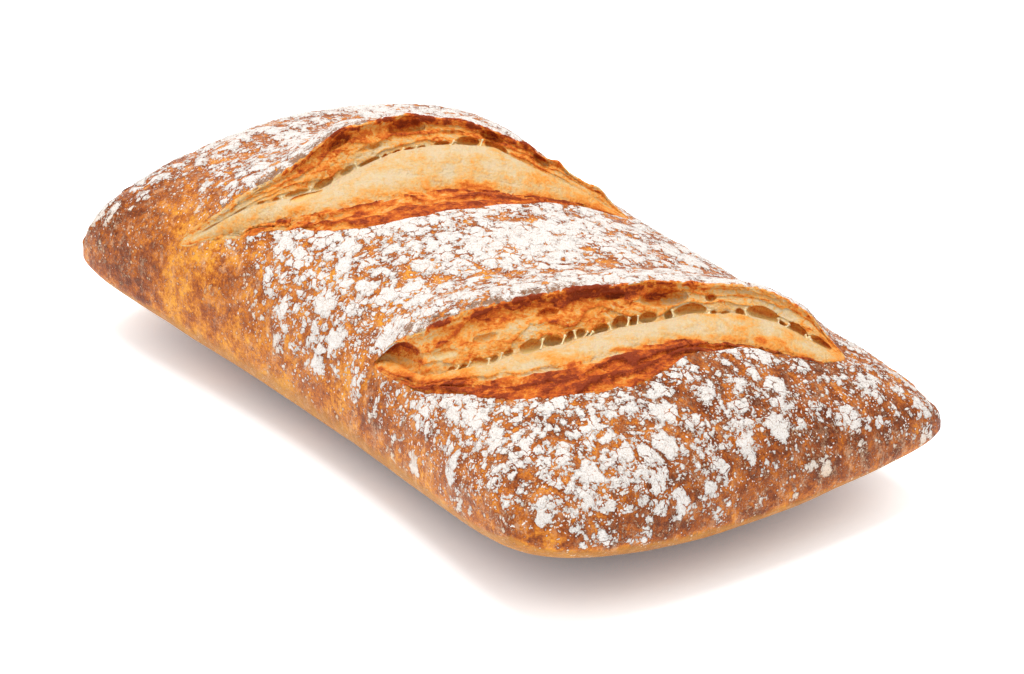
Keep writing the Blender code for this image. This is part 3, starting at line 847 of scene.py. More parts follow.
def crust_material(settings):
    """Baked crust under flour: amber to red-brown, with ragged white plates."""
    build = NodeBuilder("floured_crust")
    cover = build.field("cover")
    dust = build.field("dust")
    soot = build.field("soot")
    # Edge of the plates: lobed, scalloped and cracked, with small bits between them
    crumpled = build.warped(0.0004, 800.0)
    lobes = build.times(build.minus(0.44, build.cells(520.0, place=crumpled)), 1.9)
    scallops = build.minus(0.44, build.cells(1500.0, place=crumpled))
    ragged = build.off_centre(build.noise(1050.0, 4.0, 0.7), 0.8)
    pits = build.off_centre(build.noise(3000.0, 2.0, 0.6), 0.9)
    edge = build.plus(build.field("flour"), build.times(build.minus(cover, 0.40), 1.5))
    edge = build.plus(edge, lobes, scallops, ragged, pits)
    cracks = build.cells(250.0, "DISTANCE_TO_EDGE", build.warped(0.0015, 420.0))
    width = build.between(build.noise(130.0), 0.42, 0.68, 0.005, 0.11)
    edge = build.minus(edge, build.between(cracks, 0.0, width, 1.7, 0.0))
    clusters = build.between(build.noise(140.0, 3.0, 0.6), 0.40, 0.58)
    grown = build.times(build.plus(cover, 0.1), 0.16)
    grown = build.minus(grown, build.times(build.minus(1.0, clusters), 0.14))
    bits = build.plus(build.spots(780.0, -0.10, 0.34, crumpled), grown, build.times(pits, 0.12))
    edge = build.math("MAXIMUM", edge, build.times(bits, 2.6))
    # How thick the flour is, with pinholes in it
    pinholes = build.between(build.noise(1900.0, 3.0, 0.7), 0.58, 0.66, 1.0, 0.45)
    opacity = build.times(build.between(edge, -0.03, 0.08), pinholes)
    opacity = build.times(opacity, build.between(cover, -0.1, 0.3, 0.75, 1.0))
    # Flour rubbed into the crust between the plates: a veil, streaks and specks
    finer = build.plus(ragged, build.off_centre(build.noise(2200.0, 3.0, 0.7), 2.4))
    veil = build.times(build.between(finer, 0.0, 0.7), dust, 0.26)
    streaks = build.noise(380.0, 5.0, 0.7, build.stretched((1.0, 1.0, 3.0), 0.0))
    streaks = build.plus(streaks, build.off_centre(build.noise(1700.0, 3.0, 0.7), 0.5))
    streaks = build.times(build.between(streaks, 0.54, 0.62, 0.0, 0.75), dust)
    veil = build.math("MAXIMUM", veil, build.times(streaks, build.between(cover, 0.2, 0.5, 1.0, 0.3)))
    specks = build.times(build.between(build.noise(1300.0, 4.0, 0.75), 0.54, 0.62), clusters, dust)
    veil = build.math("MAXIMUM", veil, specks, clamp=True)
    # The baked crust, browner where it blistered, and darker beside the plates: partly scorched crust,
    # partly painted shade along their raised edges
    blotches = build.off_centre(build.noise(60.0, 5.0, 0.6), 0.9)
    blisters = build.off_centre(build.between(build.noise(190.0, 6.0, 0.75), 0.44, 0.57), 0.30)
    mottle = build.plus(build.off_centre(build.noise(330.0, 5.0, 0.72), 1.2), blisters)
    speckle = build.off_centre(build.noise(1300.0, 4.0, 0.7), 1.3)
    toast = build.plus(build.field("toast"), blotches, mottle, speckle)
    # Darker crust just outside each plate: partly scorched, partly painted shade of the plate's edge
    toast = build.math("ADD", toast, build.between(edge, -0.9, -0.1, 0.0, 0.16), clamp=True)
    baked = (settings.amber_colour, settings.golden_colour, settings.brown_colour, settings.dark_colour)
    crust = build.ramp(toast, tuple(zip((0.0, 0.36, 0.66, 1.0), baked)))
    base = build.plus(build.field("base"), build.off_centre(build.noise(260.0, 4.0, 0.6), 0.9))
    crust = build.mix(build.between(base, 0.25, 1.05, 0.0, 0.85), crust, settings.base_colour)
    crust = build.mix(veil, crust, settings.thin_flour_colour)
    # The flour itself: grainy, warmer where it is thin and browned behind an ear
    grain = build.noise(2600.0, 4.0, 0.75)
    lit = build.times(build.between(grain, 0.34, 0.54), build.between(edge, 0.0, 0.3, 0.6, 1.0))
    flour = build.mix(lit, settings.flour_shade, settings.flour_colour)
    flour = build.mix(build.between(cover, 0.0, 0.42, 1.0, 0.0), flour, settings.thin_flour_colour)
    toasted = build.plus(build.noise(1500.0, 3.0, 0.7), build.times(soot, 0.45))
    toasted = build.times(build.between(toasted, 0.62, 0.86, 0.0, 0.9), build.between(soot, 0.0, 0.2))
    flour = build.mix(toasted, flour, settings.soot_colour)
    fine = build.plus(build.times(mottle, 0.7), build.times(speckle, 0.5))
    relief = build.plus(build.between(edge, -0.15, 0.5), build.times(grain, 0.25))
    sockets = {
        "Base Color": build.mix(opacity, crust, flour),
        "Roughness": build.between(opacity, 0.0, 1.0, 0.42, 0.95),
        "Normal": build.bump(relief, 0.0005, 0.8, build.bump(fine, 0.0007, 0.7)),
        "Specular IOR Level": 0.14,
    }
    return build.finished(sockets)


def slash_material(settings):
    """Torn dough: pale crumb, golden skin and browned tears."""
    build = NodeBuilder("torn_crumb")
    torn = build.field("torn")
    toast = build.field("toast")
    # Colour unevenness, and fibres along the pull of the dough
    pulled = build.stretched((3.2, 1.0, 1.0), settings.grain_turn)
    fibres = build.off_centre(build.noise(300.0, 4.0, 0.6, pulled), 0.8)
    blotches = build.off_centre(build.noise(150.0, 6.0, 0.68), 0.95)
    speckle = build.off_centre(build.noise(900.0, 4.0, 0.7), 0.7)
    uneven = build.times(build.plus(fibres, blotches, speckle), build.between(toast, 0.1, 0.5, 0.8, 1.0))
    # Fine drawn lines, browner and paler, where the dough tore
    coarse = build.noise(210.0, 3.0, 0.5, build.stretched((2.6, 1.0, 1.0), settings.grain_turn))
    lines = build.between(build.math("ABSOLUTE", build.minus(coarse, 0.5)), 0.0, 0.030, 1.0, 0.0)
    fine = build.noise(520.0, 3.0, 0.55, build.stretched((2.0, 1.0, 1.0), settings.grain_turn))
    hairs = build.between(build.math("ABSOLUTE", build.minus(fine, 0.5)), 0.0, 0.035, 1.0, 0.0)
    drawn = build.plus(build.times(lines, 0.22), build.times(hairs, -0.16))
    drawn = build.times(drawn, build.between(torn, 0.2, 0.9))
    toast = build.math("ADD", build.plus(toast, uneven), drawn, clamp=True)
    shades = (
        settings.crumb_colour,
        settings.cream_colour,
        settings.orange_colour,
        settings.tan_colour,
        settings.tear_colour,
        settings.rim_colour,
    )
    colour = build.ramp(toast, tuple(zip((0.0, 0.20, 0.40, 0.60, 0.80, 1.0), shades)))
    # Pale inside of the bubbles, strongest on their floors: the crumb's colour with painted light
    colour = build.mix(build.field("hollow"), colour, settings.hollow_lit_colour)
    floured = build.plus(build.field("flour"), build.off_centre(build.noise(1400.0, 4.0, 0.7), 2.0))
    spongy = build.off_centre(build.cells(1100.0, place=build.warped(0.0004, 900.0)), 0.5)
    height = build.plus(build.times(speckle, 1.2), blotches, fibres, spongy)
    sockets = {
        "Base Color": build.mix(build.between(floured, 0.35, 0.75), colour, settings.lip_flour_colour),
        "Roughness": build.between(toast, 0.0, 1.0, 0.48, 0.6),
        "Normal": build.bump(height, 0.0008, 0.8),
        "Specular IOR Level": 0.14,
        "Subsurface Weight": 0.2,
        "Subsurface Radius": (0.004, 0.002, 0.0008),
        "Subsurface Scale": 0.5,
    }
    return build.finished(sockets)


def strand_material(settings):
    """Gluten strands: pale, a little waxy."""
    build = NodeBuilder("gluten_strand")
    tone = build.between(build.noise(500.0, 3.0, 0.5), 0.3, 0.7)
    sockets = {
        "Base Color": build.mix(tone, settings.crumb_colour, settings.strand_colour),
        "Roughness": 0.42,
        "Subsurface Weight": 0.3,
        "Subsurface Radius": (0.003, 0.0016, 0.0008),
        "Subsurface Scale": 0.5,
    }
    return build.finished(sockets)


def clump_material(settings):
    """Small clumps of flour: matt, off-white, with a fine grain."""
    build = NodeBuilder("flour_clump")
    grain = build.noise(2600.0, 3.0, 0.6)
    tone = build.between(grain, 0.35, 0.6)
    sockets = {
        "Base Color": build.mix(tone, settings.flour_shade, settings.flour_colour),
        "Normal": build.bump(grain, 0.0003, 0.5),
        "Roughness": 0.95,
        "Specular IOR Level": 0.1,
    }
    return build.finished(sockets)


def floor_material(settings):
    """Pale floor with a glow that fades under and beside the loaf: a painted soft shadow."""
    build = NodeBuilder("pale_floor")
    painted_shadow_ao = build.tree.nodes.new("ShaderNodeAmbientOcclusion")
    painted_shadow_ao.samples = 4
    painted_shadow_ao.inputs["Distance"].default_value = settings.shadow_reach
    sockets = {
        "Base Color": settings.floor_colour,
        "Roughness": 0.9,
        "Specular IOR Level": 0.1,
        "Emission Color": GLOW_COLOUR,
        # The glow dims where the floor is hidden by the loaf: a painted shadow around it
        "Emission Strength": build.between(painted_shadow_ao.outputs["AO"], 0.06, 0.62, 0.0, settings.floor_glow_painted_shadow),
    }
    return build.finished(sockets)


def dusting_sum(x, y, what):
    """Total of one column of the dustings at plan positions."""
    total = np.zeros_like(x)
    for area in DUSTINGS:
        away = ((x / MM - area.x) / area.reach_x) ** 2 + ((y / MM - area.y) / area.reach_y) ** 2
        total += getattr(area, what) * np.exp(-away)
    return total


def beside_slashes(x, y):
    """How much more flour lies along the edges of the slashes, most of it behind their ears."""
    total = np.zeros_like(x)
    for slash in SLASHES:
        share, across = chord_place(slash, x + MIDDLE[0], y + MIDDLE[1])
        ear_edge, near_edge = edges_at(slash, np.clip(share, 0, 1))
        middle_part = eased(share, 0.0, 0.1) * (1 - eased(share, 0.88, 1.0))
        behind = np.exp(-(((ear_edge - across) / FLOUR_BEHIND_EAR[1]) ** 2)) * (across < ear_edge)
        before = np.exp(-(((across - near_edge) / FLOUR_BEFORE_EDGE[1]) ** 2)) * (across > near_edge)
        total += middle_part * (FLOUR_BEHIND_EAR[0] * behind + FLOUR_BEFORE_EDGE[0] * before)
    return total


def rounded_minimum(first, second, reach):
    """The smaller of two distances, with a rounded corner where they meet."""
    overlap = np.clip(reach - np.abs(first - second), 0, None)
    return np.minimum(first, second) - overlap**2 / (4 * reach)


def flour_cover(points, up):
    """Share of the crust that flour covers near each point."""
    x, y, z = points[..., 0], points[..., 1], points[..., 2]
    tide = layered_noise(points, 20 * MM, 61, 3)
    cover = FLOUR_COVER + dusting_sum(x, y, "flour") + COVER_DRIFT * tide
    cover = cover + COVER_ON_TOP * (up - 0.75) - COVER_LOW_DOWN * eased(BARE_BELOW - z, 0.0, 0.012)
    cover = cover + beside_slashes(x, y)
    return np.where(up < -0.1, -0.2, cover)


def flour_plates(points, cover, size):
    """Depth inside the plates of flour and the bits between them, from -1.2 outside to 1 inside."""
    wander = np.stack([layered_noise(points, 7 * MM, seed, 3) for seed in (41, 42, 43)], axis=-1)
    crumple = np.stack([layered_noise(points, 2.6 * MM, seed, 2) for seed in (44, 45, 46)], axis=-1)
    squeezed = points * np.array((1.0, 1.0, 0.6)) + 1.8 * MM * wander + 0.8 * MM * crumple
    near, second, mark = cell_field(squeezed, size, 5)
    radius = size * (0.30 + 0.72 * np.clip(cover, 0, 1)) * (0.66 + 0.64 * mark)
    radius = np.where(mark < 0.72 - 0.72 * cover, 0.0, radius)
    gap = (second - near) / 2 - PLATE_GAP * size * (1.4 - cover)
    plates = rounded_minimum(radius - near, gap, PLATE_CORNER)
    small = size * BIT_SHARE
    near, second, mark = cell_field(squeezed, small, 9)
    radius = small * (0.12 + 0.62 * np.clip(cover + 0.1, 0, 1)) * (0.3 + mark)
    radius = np.where(mark < 0.66 - 0.5 * cover, 0.0, radius)
    bits = np.minimum(radius - near, (second - near) / 2 - 0.08 * small)
    return np.clip(np.maximum(plates, bits) / PLATE_EDGE, -1.2, 1.0)


def top_fields(points, up, settings):
    """Flour, browning, loose dust, cover and paleness for points of the crust."""
    x, y, z = points[..., 0], points[..., 1], points[..., 2]
    cover = flour_cover(points, up)
    browned = dusting_sum(x, y, "toast")
    toast = TOAST + browned + TOAST_DRIFT * layered_noise(points, 30 * MM, 71, 3)
    toast = toast - TOAST_LOW_DOWN * eased(PALE_BELOW - z, 0.0, 0.014) + 0.04 * eased(up, 0.6, 0.95)
    pale = eased(0.031 - z + 0.004 * layered_noise(points, 9 * MM, 73, 3), 0.0, 0.020)
    return {
        "flour": flour_plates(points, cover, settings.clump_size),
        "toast": toast,
        "dust": np.clip(0.55 * cover + 0.35, 0, 1) * eased(z, 0.006, 0.02),
        "cover": cover,
        "base": pale - 2.4 * np.maximum(browned, 0),
    }


def under_fields(points, flat):
    """The same for points of the underside, which is paler and has no plates of flour."""
    toast = 0.30 + 0.60 * (1 - eased(flat, 0.78, 0.93)) + 0.16 * layered_noise(points, 16 * MM, 8, 3)
    flour = -0.5 + 0.6 * layered_noise(points * np.array((1, 1, 0.5)), 5 * MM, 12, 3)
    none = np.zeros(len(points))
    return {
        "flour": flour - 0.7 * eased(0.020 - points[:, 2], 0.0, 0.012),
        "toast": toast + dusting_sum(points[:, 0], points[:, 1], "toast") * 0.7,
        "dust": none + UNDER_DUST,
        "cover": none + UNDER_COVER,
        "base": 0.85 * eased(flat, 0.80, 0.92),
        "crumbs": none,
        "soot": none,
    }


def even_steps(count, axis):
    """Flat coordinates that give steps of equal length over the middle section of the loaf."""
    fine = np.sin(np.linspace(-1, 1, 2001) * math.pi / 2)
    still = np.zeros_like(fine)
    u, v = (fine, still) if axis == 0 else (still, fine)
    x, y = raw_plan(u, v)
    walk = np.stack((x, y, dome_height(u, v)), axis=-1)
    run = np.concatenate(((0,), np.cumsum(np.linalg.norm(np.diff(walk, axis=0), axis=1))))
    return np.interp(np.linspace(0, run[-1], count), run, fine)


def crust_points(u, v, lower):
    """Smooth points of the crust in the row's frame."""
    x, y = raw_plan(u, v)
    if lower:
        z = under_height(u, v)
    else:
        z = dome_height(u, v) + sum(ear_lift(slash, x, y) for slash in SLASHES)
    return np.stack((x - MIDDLE[0], y - MIDDLE[1], z), axis=-1)


def snapped_grid(u, v):
    """Moves grid points onto the slashes' edges, and tells how deep each point lies in an opening."""
    u, v = u.copy(), v.copy()
    depth = np.full(u.shape, -1.0)
    for slash in SLASHES:
        x, y = raw_plan(u, v)
        inside = opening_depth(slash, x, y)
        close = np.zeros(u.shape, bool)
        for axis in (0, 1):
            ahead = np.roll(inside, -1, axis)
            crossing = (inside > 0) != (ahead > 0)
            crossing[(-1,) if axis == 0 else (slice(None), -1)] = False
            mine = np.abs(inside) <= np.abs(ahead)
            close |= crossing & mine
            close |= np.roll(crossing & ~mine, 1, axis)
        share, across = chord_place(slash, x, y)
        start, ahead_way, right, length = chord_frame(slash)
        held = np.clip(share, 0, 1)
        ear_edge, near_edge = edges_at(slash, held)
        target = np.where(np.abs(across - ear_edge) < np.abs(across - near_edge), ear_edge, near_edge)
        new_x = start[0] + ahead_way[0] * held * length + right[0] * target
        new_y = start[1] + ahead_way[1] * held * length + right[1] * target
        new_u, new_v = flat_of(new_x[close], new_y[close])
        u[close] = new_u
        v[close] = new_v
        inside = np.where(close, 0.0, inside)
        depth = np.maximum(depth, inside)
    return u, v, depth


def open_faces(quads, depth):
    """Faces of a grid outside the openings, with the corner cut off a quad that reaches one point in."""
    deep = depth.ravel()[quads] > 0
    count = deep.sum(axis=1)
    faces = quads[count == 0].tolist()
    for quad, marks in zip(quads[count == 1], deep[count == 1]):
        faces.append([int(index) for index, mark in zip(quad, marks) if not mark])
    return faces


def underside(u, v, rings):
    """Points, faces and flat shares of the underside, ring by ring from the rim to the middle."""
    first = u.size
    index = np.arange(first).reshape(u.shape)
    ring = np.concatenate((index[:-1, 0], index[-1, :-1], index[:0:-1, -1], index[0, :0:-1]))
    size = len(ring)
    shares = 1 - (np.linspace(0, 1, rings + 1)[1:-1]) ** 1.8
    ring_u, ring_v = u.ravel()[ring], v.ravel()[ring]
    rows = [crust_points(ring_u * share, ring_v * share, True) for share in shares]
    points = np.concatenate((*rows, crust_points(np.zeros(1), np.zeros(1), True)))
    flat = np.concatenate((np.repeat(shares, size), np.zeros(1)))
    faces = []
    outer = ring
    for number in range(len(shares)):
        inner = first + number * size + np.arange(size)
        around = np.stack((outer, inner, np.roll(inner, -1), np.roll(outer, -1)), axis=-1)
        faces += around.tolist()
        outer = inner
    centre = first + len(points) - 1
    faces += [[int(one), centre, int(other)] for one, other in zip(outer, np.roll(outer, -1))]
    off_floor = eased(points[:, 2], 0.0, 0.004) * eased(1 - flat, 0.0, 0.02)
    points[:, 2] = points[:, 2] - 0.35 * MM * layered_noise(points, 14 * MM, 6, 3) * off_floor
    return points, faces, flat


def build_crust(settings):
    """The whole crust, open where it was slashed."""
    columns, rows = settings.steps_along, settings.steps_across
    u, v = np.meshgrid(even_steps(columns, 0), even_steps(rows, 1), indexing="ij")
    u, v, depth = snapped_grid(u, v)
    top = crust_points(u, v, False)
    normals = grid_normals(top)
    normals[np.abs(u) >= 1] = (0, 0, 0)
    normals[np.abs(v) >= 1] = (0, 0, 0)
    fields = top_fields(top, normals[..., 2], settings)
    rim_calm = eased(np.minimum(1 - np.abs(u), 1 - np.abs(v)), 0.0, 0.01)
    edge_calm = 0.15 + 0.85 * eased(-depth, 0.0, 2.5 * MM)
    lumps = 0.55 * MM * layered_noise(top, 22 * MM, 3, 2) + 0.22 * MM * layered_noise(top, 5 * MM, 4, 3)
    raised = settings.flour_thickness * eased(fields["flour"], -0.2, 0.6)
    sunk = -0.18 * MM * eased(-fields["flour"], 0.0, 0.6)
    top = top + normals * ((lumps + raised + sunk) * rim_calm * edge_calm)[..., None]
    fields["crumbs"] = crumb_density(top, fields["cover"], depth, rim_calm)
    fields["soot"] = soot_field(top, u, v)
    below, under_faces, flat = underside(u, v, settings.under_rings)
    low = under_fields(below, flat)
    fields = {name: np.concatenate((fields[name].ravel(), low[name])) for name in low}
    faces = open_faces(grid_faces(columns, rows), depth) + under_faces
    crust = mesh_piece("crust", np.concatenate((top.reshape(-1, 3), below)), faces, fields)
    drop_loose_points(crust)
    finish_piece(crust, crust_material(settings))
    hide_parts(NODE)


def crumb_density(points, cover, depth, rim_calm):
    """Share of the full number of loose clumps at each point of the crust."""
    patchy = eased(layered_noise(points, 6 * MM, 91, 3), -0.3, 0.5)
    near_slash = eased(-depth, 0.5 * MM, 2 * MM)
    return patchy * eased(cover, -0.05, 0.5) * (1 - eased(cover, 0.8, 1.1)) * near_slash * rim_calm


def number_sockets(sockets):
    """The plain number sockets of a random value node, which has one set for each kind of value."""
    names = ("Min", "Max", "Value")
    return [socket for socket in sockets if socket.type == "VALUE" and socket.name in names]


def random_value(tree, kind, seed):
    """A node that draws a value for each point."""
    node = tree.nodes.new("FunctionNodeRandomValue")
    node.data_type = kind
    node.inputs["Seed"].default_value = seed
    return node


def clump_nodes(settings, material):
    """A node tree that scatters small flattened clumps over the faces where the crumbs field is high."""
    tree = bpy.data.node_groups.new("flour_clumps", "GeometryNodeTree")
    face = tree.interface
    face.new_socket("Geometry", in_out="INPUT", socket_type="NodeSocketGeometry")
    for name in ("Clumps per square metre", "Smallest radius", "Largest radius"):
        face.new_socket(name, in_out="INPUT", socket_type="NodeSocketFloat")
    face.new_socket("Geometry", in_out="OUTPUT", socket_type="NodeSocketGeometry")
    add = tree.nodes.new
    join = tree.links.new
    given = add("NodeGroupInput")
    result = add("NodeGroupOutput")
    crumbs = add("GeometryNodeInputNamedAttribute")
    crumbs.data_type = "FLOAT"
    crumbs.inputs["Name"].default_value = "crumbs"
    density = add("ShaderNodeMath")
    density.operation = "MULTIPLY"
    join(given.outputs["Clumps per square metre"], density.inputs[0])
    join(crumbs.outputs["Attribute"], density.inputs[1])
    scatter = add("GeometryNodeDistributePointsOnFaces")
    scatter.inputs["Seed"].default_value = settings.clump_seed
    join(given.outputs["Geometry"], scatter.inputs["Mesh"])
    join(density.outputs["Value"], scatter.inputs["Density"])
    ball = add("GeometryNodeMeshIcoSphere")
    ball.inputs["Radius"].default_value = 1.0
    ball.inputs["Subdivisions"].default_value = 1
    size = random_value(tree, "FLOAT", settings.clump_seed + 1)
    low, high = number_sockets(size.inputs)
    join(given.outputs["Smallest radius"], low)
    join(given.outputs["Largest radius"], high)
    spread = random_value(tree, "FLOAT_VECTOR", settings.clump_seed + 2)
    spread.inputs["Min"].default_value = CLUMP_SHAPE_LOW
    spread.inputs["Max"].default_value = CLUMP_SHAPE_HIGH
    scale = add("ShaderNodeVectorMath")
    scale.operation = "SCALE"
    join(spread.outputs["Value"], scale.inputs[0])
    join(number_sockets(size.outputs)[0], scale.inputs["Scale"])
    turn = random_value(tree, "FLOAT", settings.clump_seed + 3)
    first, last = number_sockets(turn.inputs)
    first.default_value = 0.0
    last.default_value = math.tau
    twist = add("FunctionNodeAxisAngleToRotation")
    twist.inputs["Axis"].default_value = (0.0, 0.0, 1.0)
    join(number_sockets(turn.outputs)[0], twist.inputs["Angle"])
    spin = add("FunctionNodeRotateRotation")
    spin.rotation_space = "LOCAL"
    join(scatter.outputs["Rotation"], spin.inputs["Rotation"])
    join(twist.outputs["Rotation"], spin.inputs["Rotate By"])
    place = add("GeometryNodeInstanceOnPoints")
    join(scatter.outputs["Points"], place.inputs["Points"])
    join(ball.outputs["Mesh"], place.inputs["Instance"])
    join(spin.outputs["Rotation"], place.inputs["Rotation"])
    join(scale.outputs["Vector"], place.inputs["Scale"])
    real = add("GeometryNodeRealizeInstances")
    join(place.outputs["Instances"], real.inputs["Geometry"])
    finish = add("GeometryNodeSetMaterial")
    finish.inputs["Material"].default_value = material
    join(real.outputs["Geometry"], finish.inputs["Geometry"])
    join(finish.outputs["Geometry"], result.inputs["Geometry"])
    return tree


def grown_by_nodes(name, source, tree, values):
    """A plain mesh piece made by a node tree on a copy of the source's mesh."""
    piece = bpy.data.objects.new(name, source.data.copy())
    bpy.context.scene.collection.objects.link(piece)
    modifier = piece.modifiers.new(name, "NODES")
    modifier.node_group = tree
    for socket in tree.interface.items_tree:
        if socket.in_out == "INPUT" and socket.name in values:
            modifier[socket.identifier] = values[socket.name]
    ready = piece.evaluated_get(bpy.context.evaluated_depsgraph_get())
    made = bpy.data.meshes.new_from_object(ready)
    piece.modifiers.clear()
    piece.data = made
    return piece


def build_clumps(settings):
    """Small raised clumps of flour between the plates."""
    material = clump_material(settings)
    tree = clump_nodes(settings, material)
    values = {
        "Clumps per square metre": settings.clumps_per_square_metre,
        "Smallest radius": settings.clump_radius_low,
        "Largest radius": settings.clump_radius_high,
    }
    piece = grown_by_nodes("flour_clumps", bpy.data.objects["crust"], tree, values)
    piece.data.shade_smooth()
    finish_piece(piece, material)


def soot_field(points, u, v):
    """How toasted the flour is: it greys behind an ear."""
    x, y = raw_plan(u, v)
    total = np.zeros(u.shape)
    for slash in SLASHES:
        share, across = chord_place(slash, x, y)
        inside = (share > 0.02) & (share < 0.98)
        ear_edge = edges_at(slash, np.clip(share, 0, 1))[0]
        behind = ear_edge - across
        strength = np.interp(share, (0.0, 0.08, 0.34, 0.48, 1.0), (0.0, 1.0, 0.95, 0.4, 0.3))
        band = (1 - eased(behind, 1.5 * MM, 6.5 * MM)) * (behind > -0.5 * MM)
        patchy = np.clip(0.70 + 1.2 * layered_noise(points, 2.0 * MM, 77, 3), 0, 1)
        total = np.maximum(total, np.where(inside, strength * band * patchy, 0))
    return total


def drop_loose_points(piece):
    """Remove the points that no face uses."""
    used = np.zeros(len(piece.data.vertices), bool)
    corner_points = np.zeros(len(piece.data.loops), np.int32)
    piece.data.loops.foreach_get("vertex_index", corner_points)
    used[corner_points] = True
    shaped = bmesh.new()
    shaped.from_mesh(piece.data)
    shaped.verts.ensure_lookup_table()
    loose = [shaped.verts[int(number)] for number in np.flatnonzero(~used)]
    bmesh.ops.delete(shaped, geom=loose, context="VERTS")
    shaped.to_mesh(piece.data)
    shaped.free()


# Stations of a section that the browning is measured from
LIP_STATION = 3
ROW_STATION = 9
BAND_STATION = 14
LAST_STATION = 19


class Station(NamedTuple):
    """One line that runs the length of a slash: its place, its browning and the grid steps to the next."""

    across: np.ndarray
    height: np.ndarray
    toast: np.ndarray
    steps: int


def section_stations(slash, share):
    """The section of a slash at each share of its chord, from the lip to the near side."""
    ear_edge, near_edge = edges_at(slash, share)
    width = near_edge - ear_edge
    ear = ear_at(slash, share)
    calm = eased(from_ends(slash, share), 0.0, CALM_SECTION)
    row_wobble = 0.9 * MM * calm * layered_noise(along_run(slash, share), 5 * MM, slash.seed + 10, 2)
    row = smooth_curve(slash.row_share, share) * width + row_wobble
    foot = smooth_curve(slash.row_height, share) * calm
    drop = ear - foot
    lip = np.minimum(1.0, width / (6 * MM))
    lip_toast = smooth_curve(slash.lip_toast, share)
    crumb_toast = smooth_curve(slash.crumb_toast, share)
    band_toast = smooth_curve(slash.band_toast, share)
    face_toast = 0.26 + 0.32 * lip_toast
    end = row + smooth_curve(slash.crumb_end, share) * (width - row)
    crumb = end - row
    band = width - end
    bulge = (1.2 * MM + 0.03 * crumb) * calm
    level = foot - 0.2 * MM * calm
    near_low = -1.1 * MM * calm
    slope = near_low - level
    return (
        Station(-1.6 * MM * lip, ear - 1.3 * MM * lip, lip_toast, 3),
        Station(-0.9 * MM * lip, ear + 0.02 * MM * lip, lip_toast - 0.12, 4),
        Station(-0.1 * MM * lip, ear + 0.30 * MM * lip, lip_toast - 0.04, 4),
        Station(0.45 * MM * lip, ear - 0.1 * MM * lip, lip_toast + 0.04, 5),
        Station(0.42 * MM * lip, ear - 0.85 * MM * lip, lip_toast - 0.04, 8),
        Station(0.07 * row + 0.2 * MM * lip, ear - 0.30 * drop, face_toast, 16),
        Station(0.34 * row, ear - 0.50 * drop, face_toast - 0.06, 16),
        Station(0.62 * row, ear - 0.70 * drop, face_toast - 0.14, 14),
        Station(0.80 * row, ear - 0.88 * drop, face_toast - 0.18, 14),
        Station(1.00 * row, level, 0.5 * crumb_toast + 0.10, 12),
        Station(row + 0.07 * crumb, level + 0.45 * bulge, crumb_toast, 10),
        Station(row + 0.35 * crumb, level + slope * 0.30 + bulge, crumb_toast, 10),
        Station(row + 0.68 * crumb, level + slope * 0.66 + bulge * 0.8, crumb_toast + 0.08, 7),
        Station(row + 0.88 * crumb, level + slope * 0.87 + bulge * 0.35, crumb_toast + 0.22, 5),
        Station(end, near_low, 0.50 + 0.3 * crumb_toast + 0.7 * band_toast, 6),
        Station(end + 0.22 * band, near_low + 1.1 * MM * calm, 0.66 + band_toast, 6),
        Station(end + 0.42 * band, near_low + 0.4 * MM * calm, 0.58 + band_toast, 7),
        Station(end + 0.66 * band, near_low + 1.3 * MM * calm, 0.78 + band_toast, 7),
        Station(end + 0.90 * band, near_low + 0.8 * MM * calm, 0.60 + band_toast, 5),
        Station(width + 1.2 * MM * lip, -0.5 * MM * lip - 0.15 * MM, 0.40 + 0.4 * band_toast, 0),
    )


def slash_grid(slash, settings):
    """Grid of a slash: places along and across it, distance down the section, browning and zone."""
    length = chord_frame(slash)[3]
    columns = settings.slash_steps
    share = np.linspace(0.0004, 0.9996, columns)
    stations = section_stations(slash, share)
    ear_edge = edges_at(slash, share)[0]
    places = np.concatenate(((0,), np.cumsum([station.steps for station in stations[:-1]])))
    rows = np.arange(places[-1] + 1)
    across = curve_rows(places, [ear_edge + station.across for station in stations], rows)
    height = curve_rows(places, [station.height + 0 * share for station in stations], rows)
    toast = curve_rows(places, [station.toast + 0 * share for station in stations], rows)
    share = np.repeat(share[:, None], len(rows), axis=1)
    steps = np.hypot(np.diff(across, axis=1), np.diff(height, axis=1))
    down = np.concatenate((np.zeros((columns, 1)), np.cumsum(steps, axis=1)), axis=1)
    return share, across, height, down, toast, places, share * length


def curve_rows(places, values, rows):
    """Values at every row of a smooth curve down the section, for each place along the slash."""
    table = np.stack(values, axis=1)
    slopes = np.gradient(table, places, axis=1) * 0.75
    cell = np.clip(np.searchsorted(places, rows, side="right") - 1, 0, len(places) - 2)
    gap = (places[cell + 1] - places[cell])[None, :]
    part = ((rows - places[cell])[None, :]) / gap
    low, high = table[:, cell], table[:, cell + 1]
    return (
        (2 * part**3 - 3 * part**2 + 1) * low
        + (part**3 - 2 * part**2 + part) * gap * slopes[:, cell]
        + (3 * part**2 - 2 * part**3) * high
        + (part**3 - part**2) * gap * slopes[:, cell + 1]
    )


def torn_layers(run, part, count, seed):
    """Shingled layers of torn dough: how far each place stands out, and where the torn edges are."""
    flow = np.stack((run * 0.3, part * 5 * MM, np.zeros_like(run)), axis=-1)
    wander = layered_noise(flow, 4.5 * MM, seed, 4)
    level = part * count + 1.5 * wander
    step = level - np.floor(level)
    return step**2, eased(step, 0.66, 0.95)


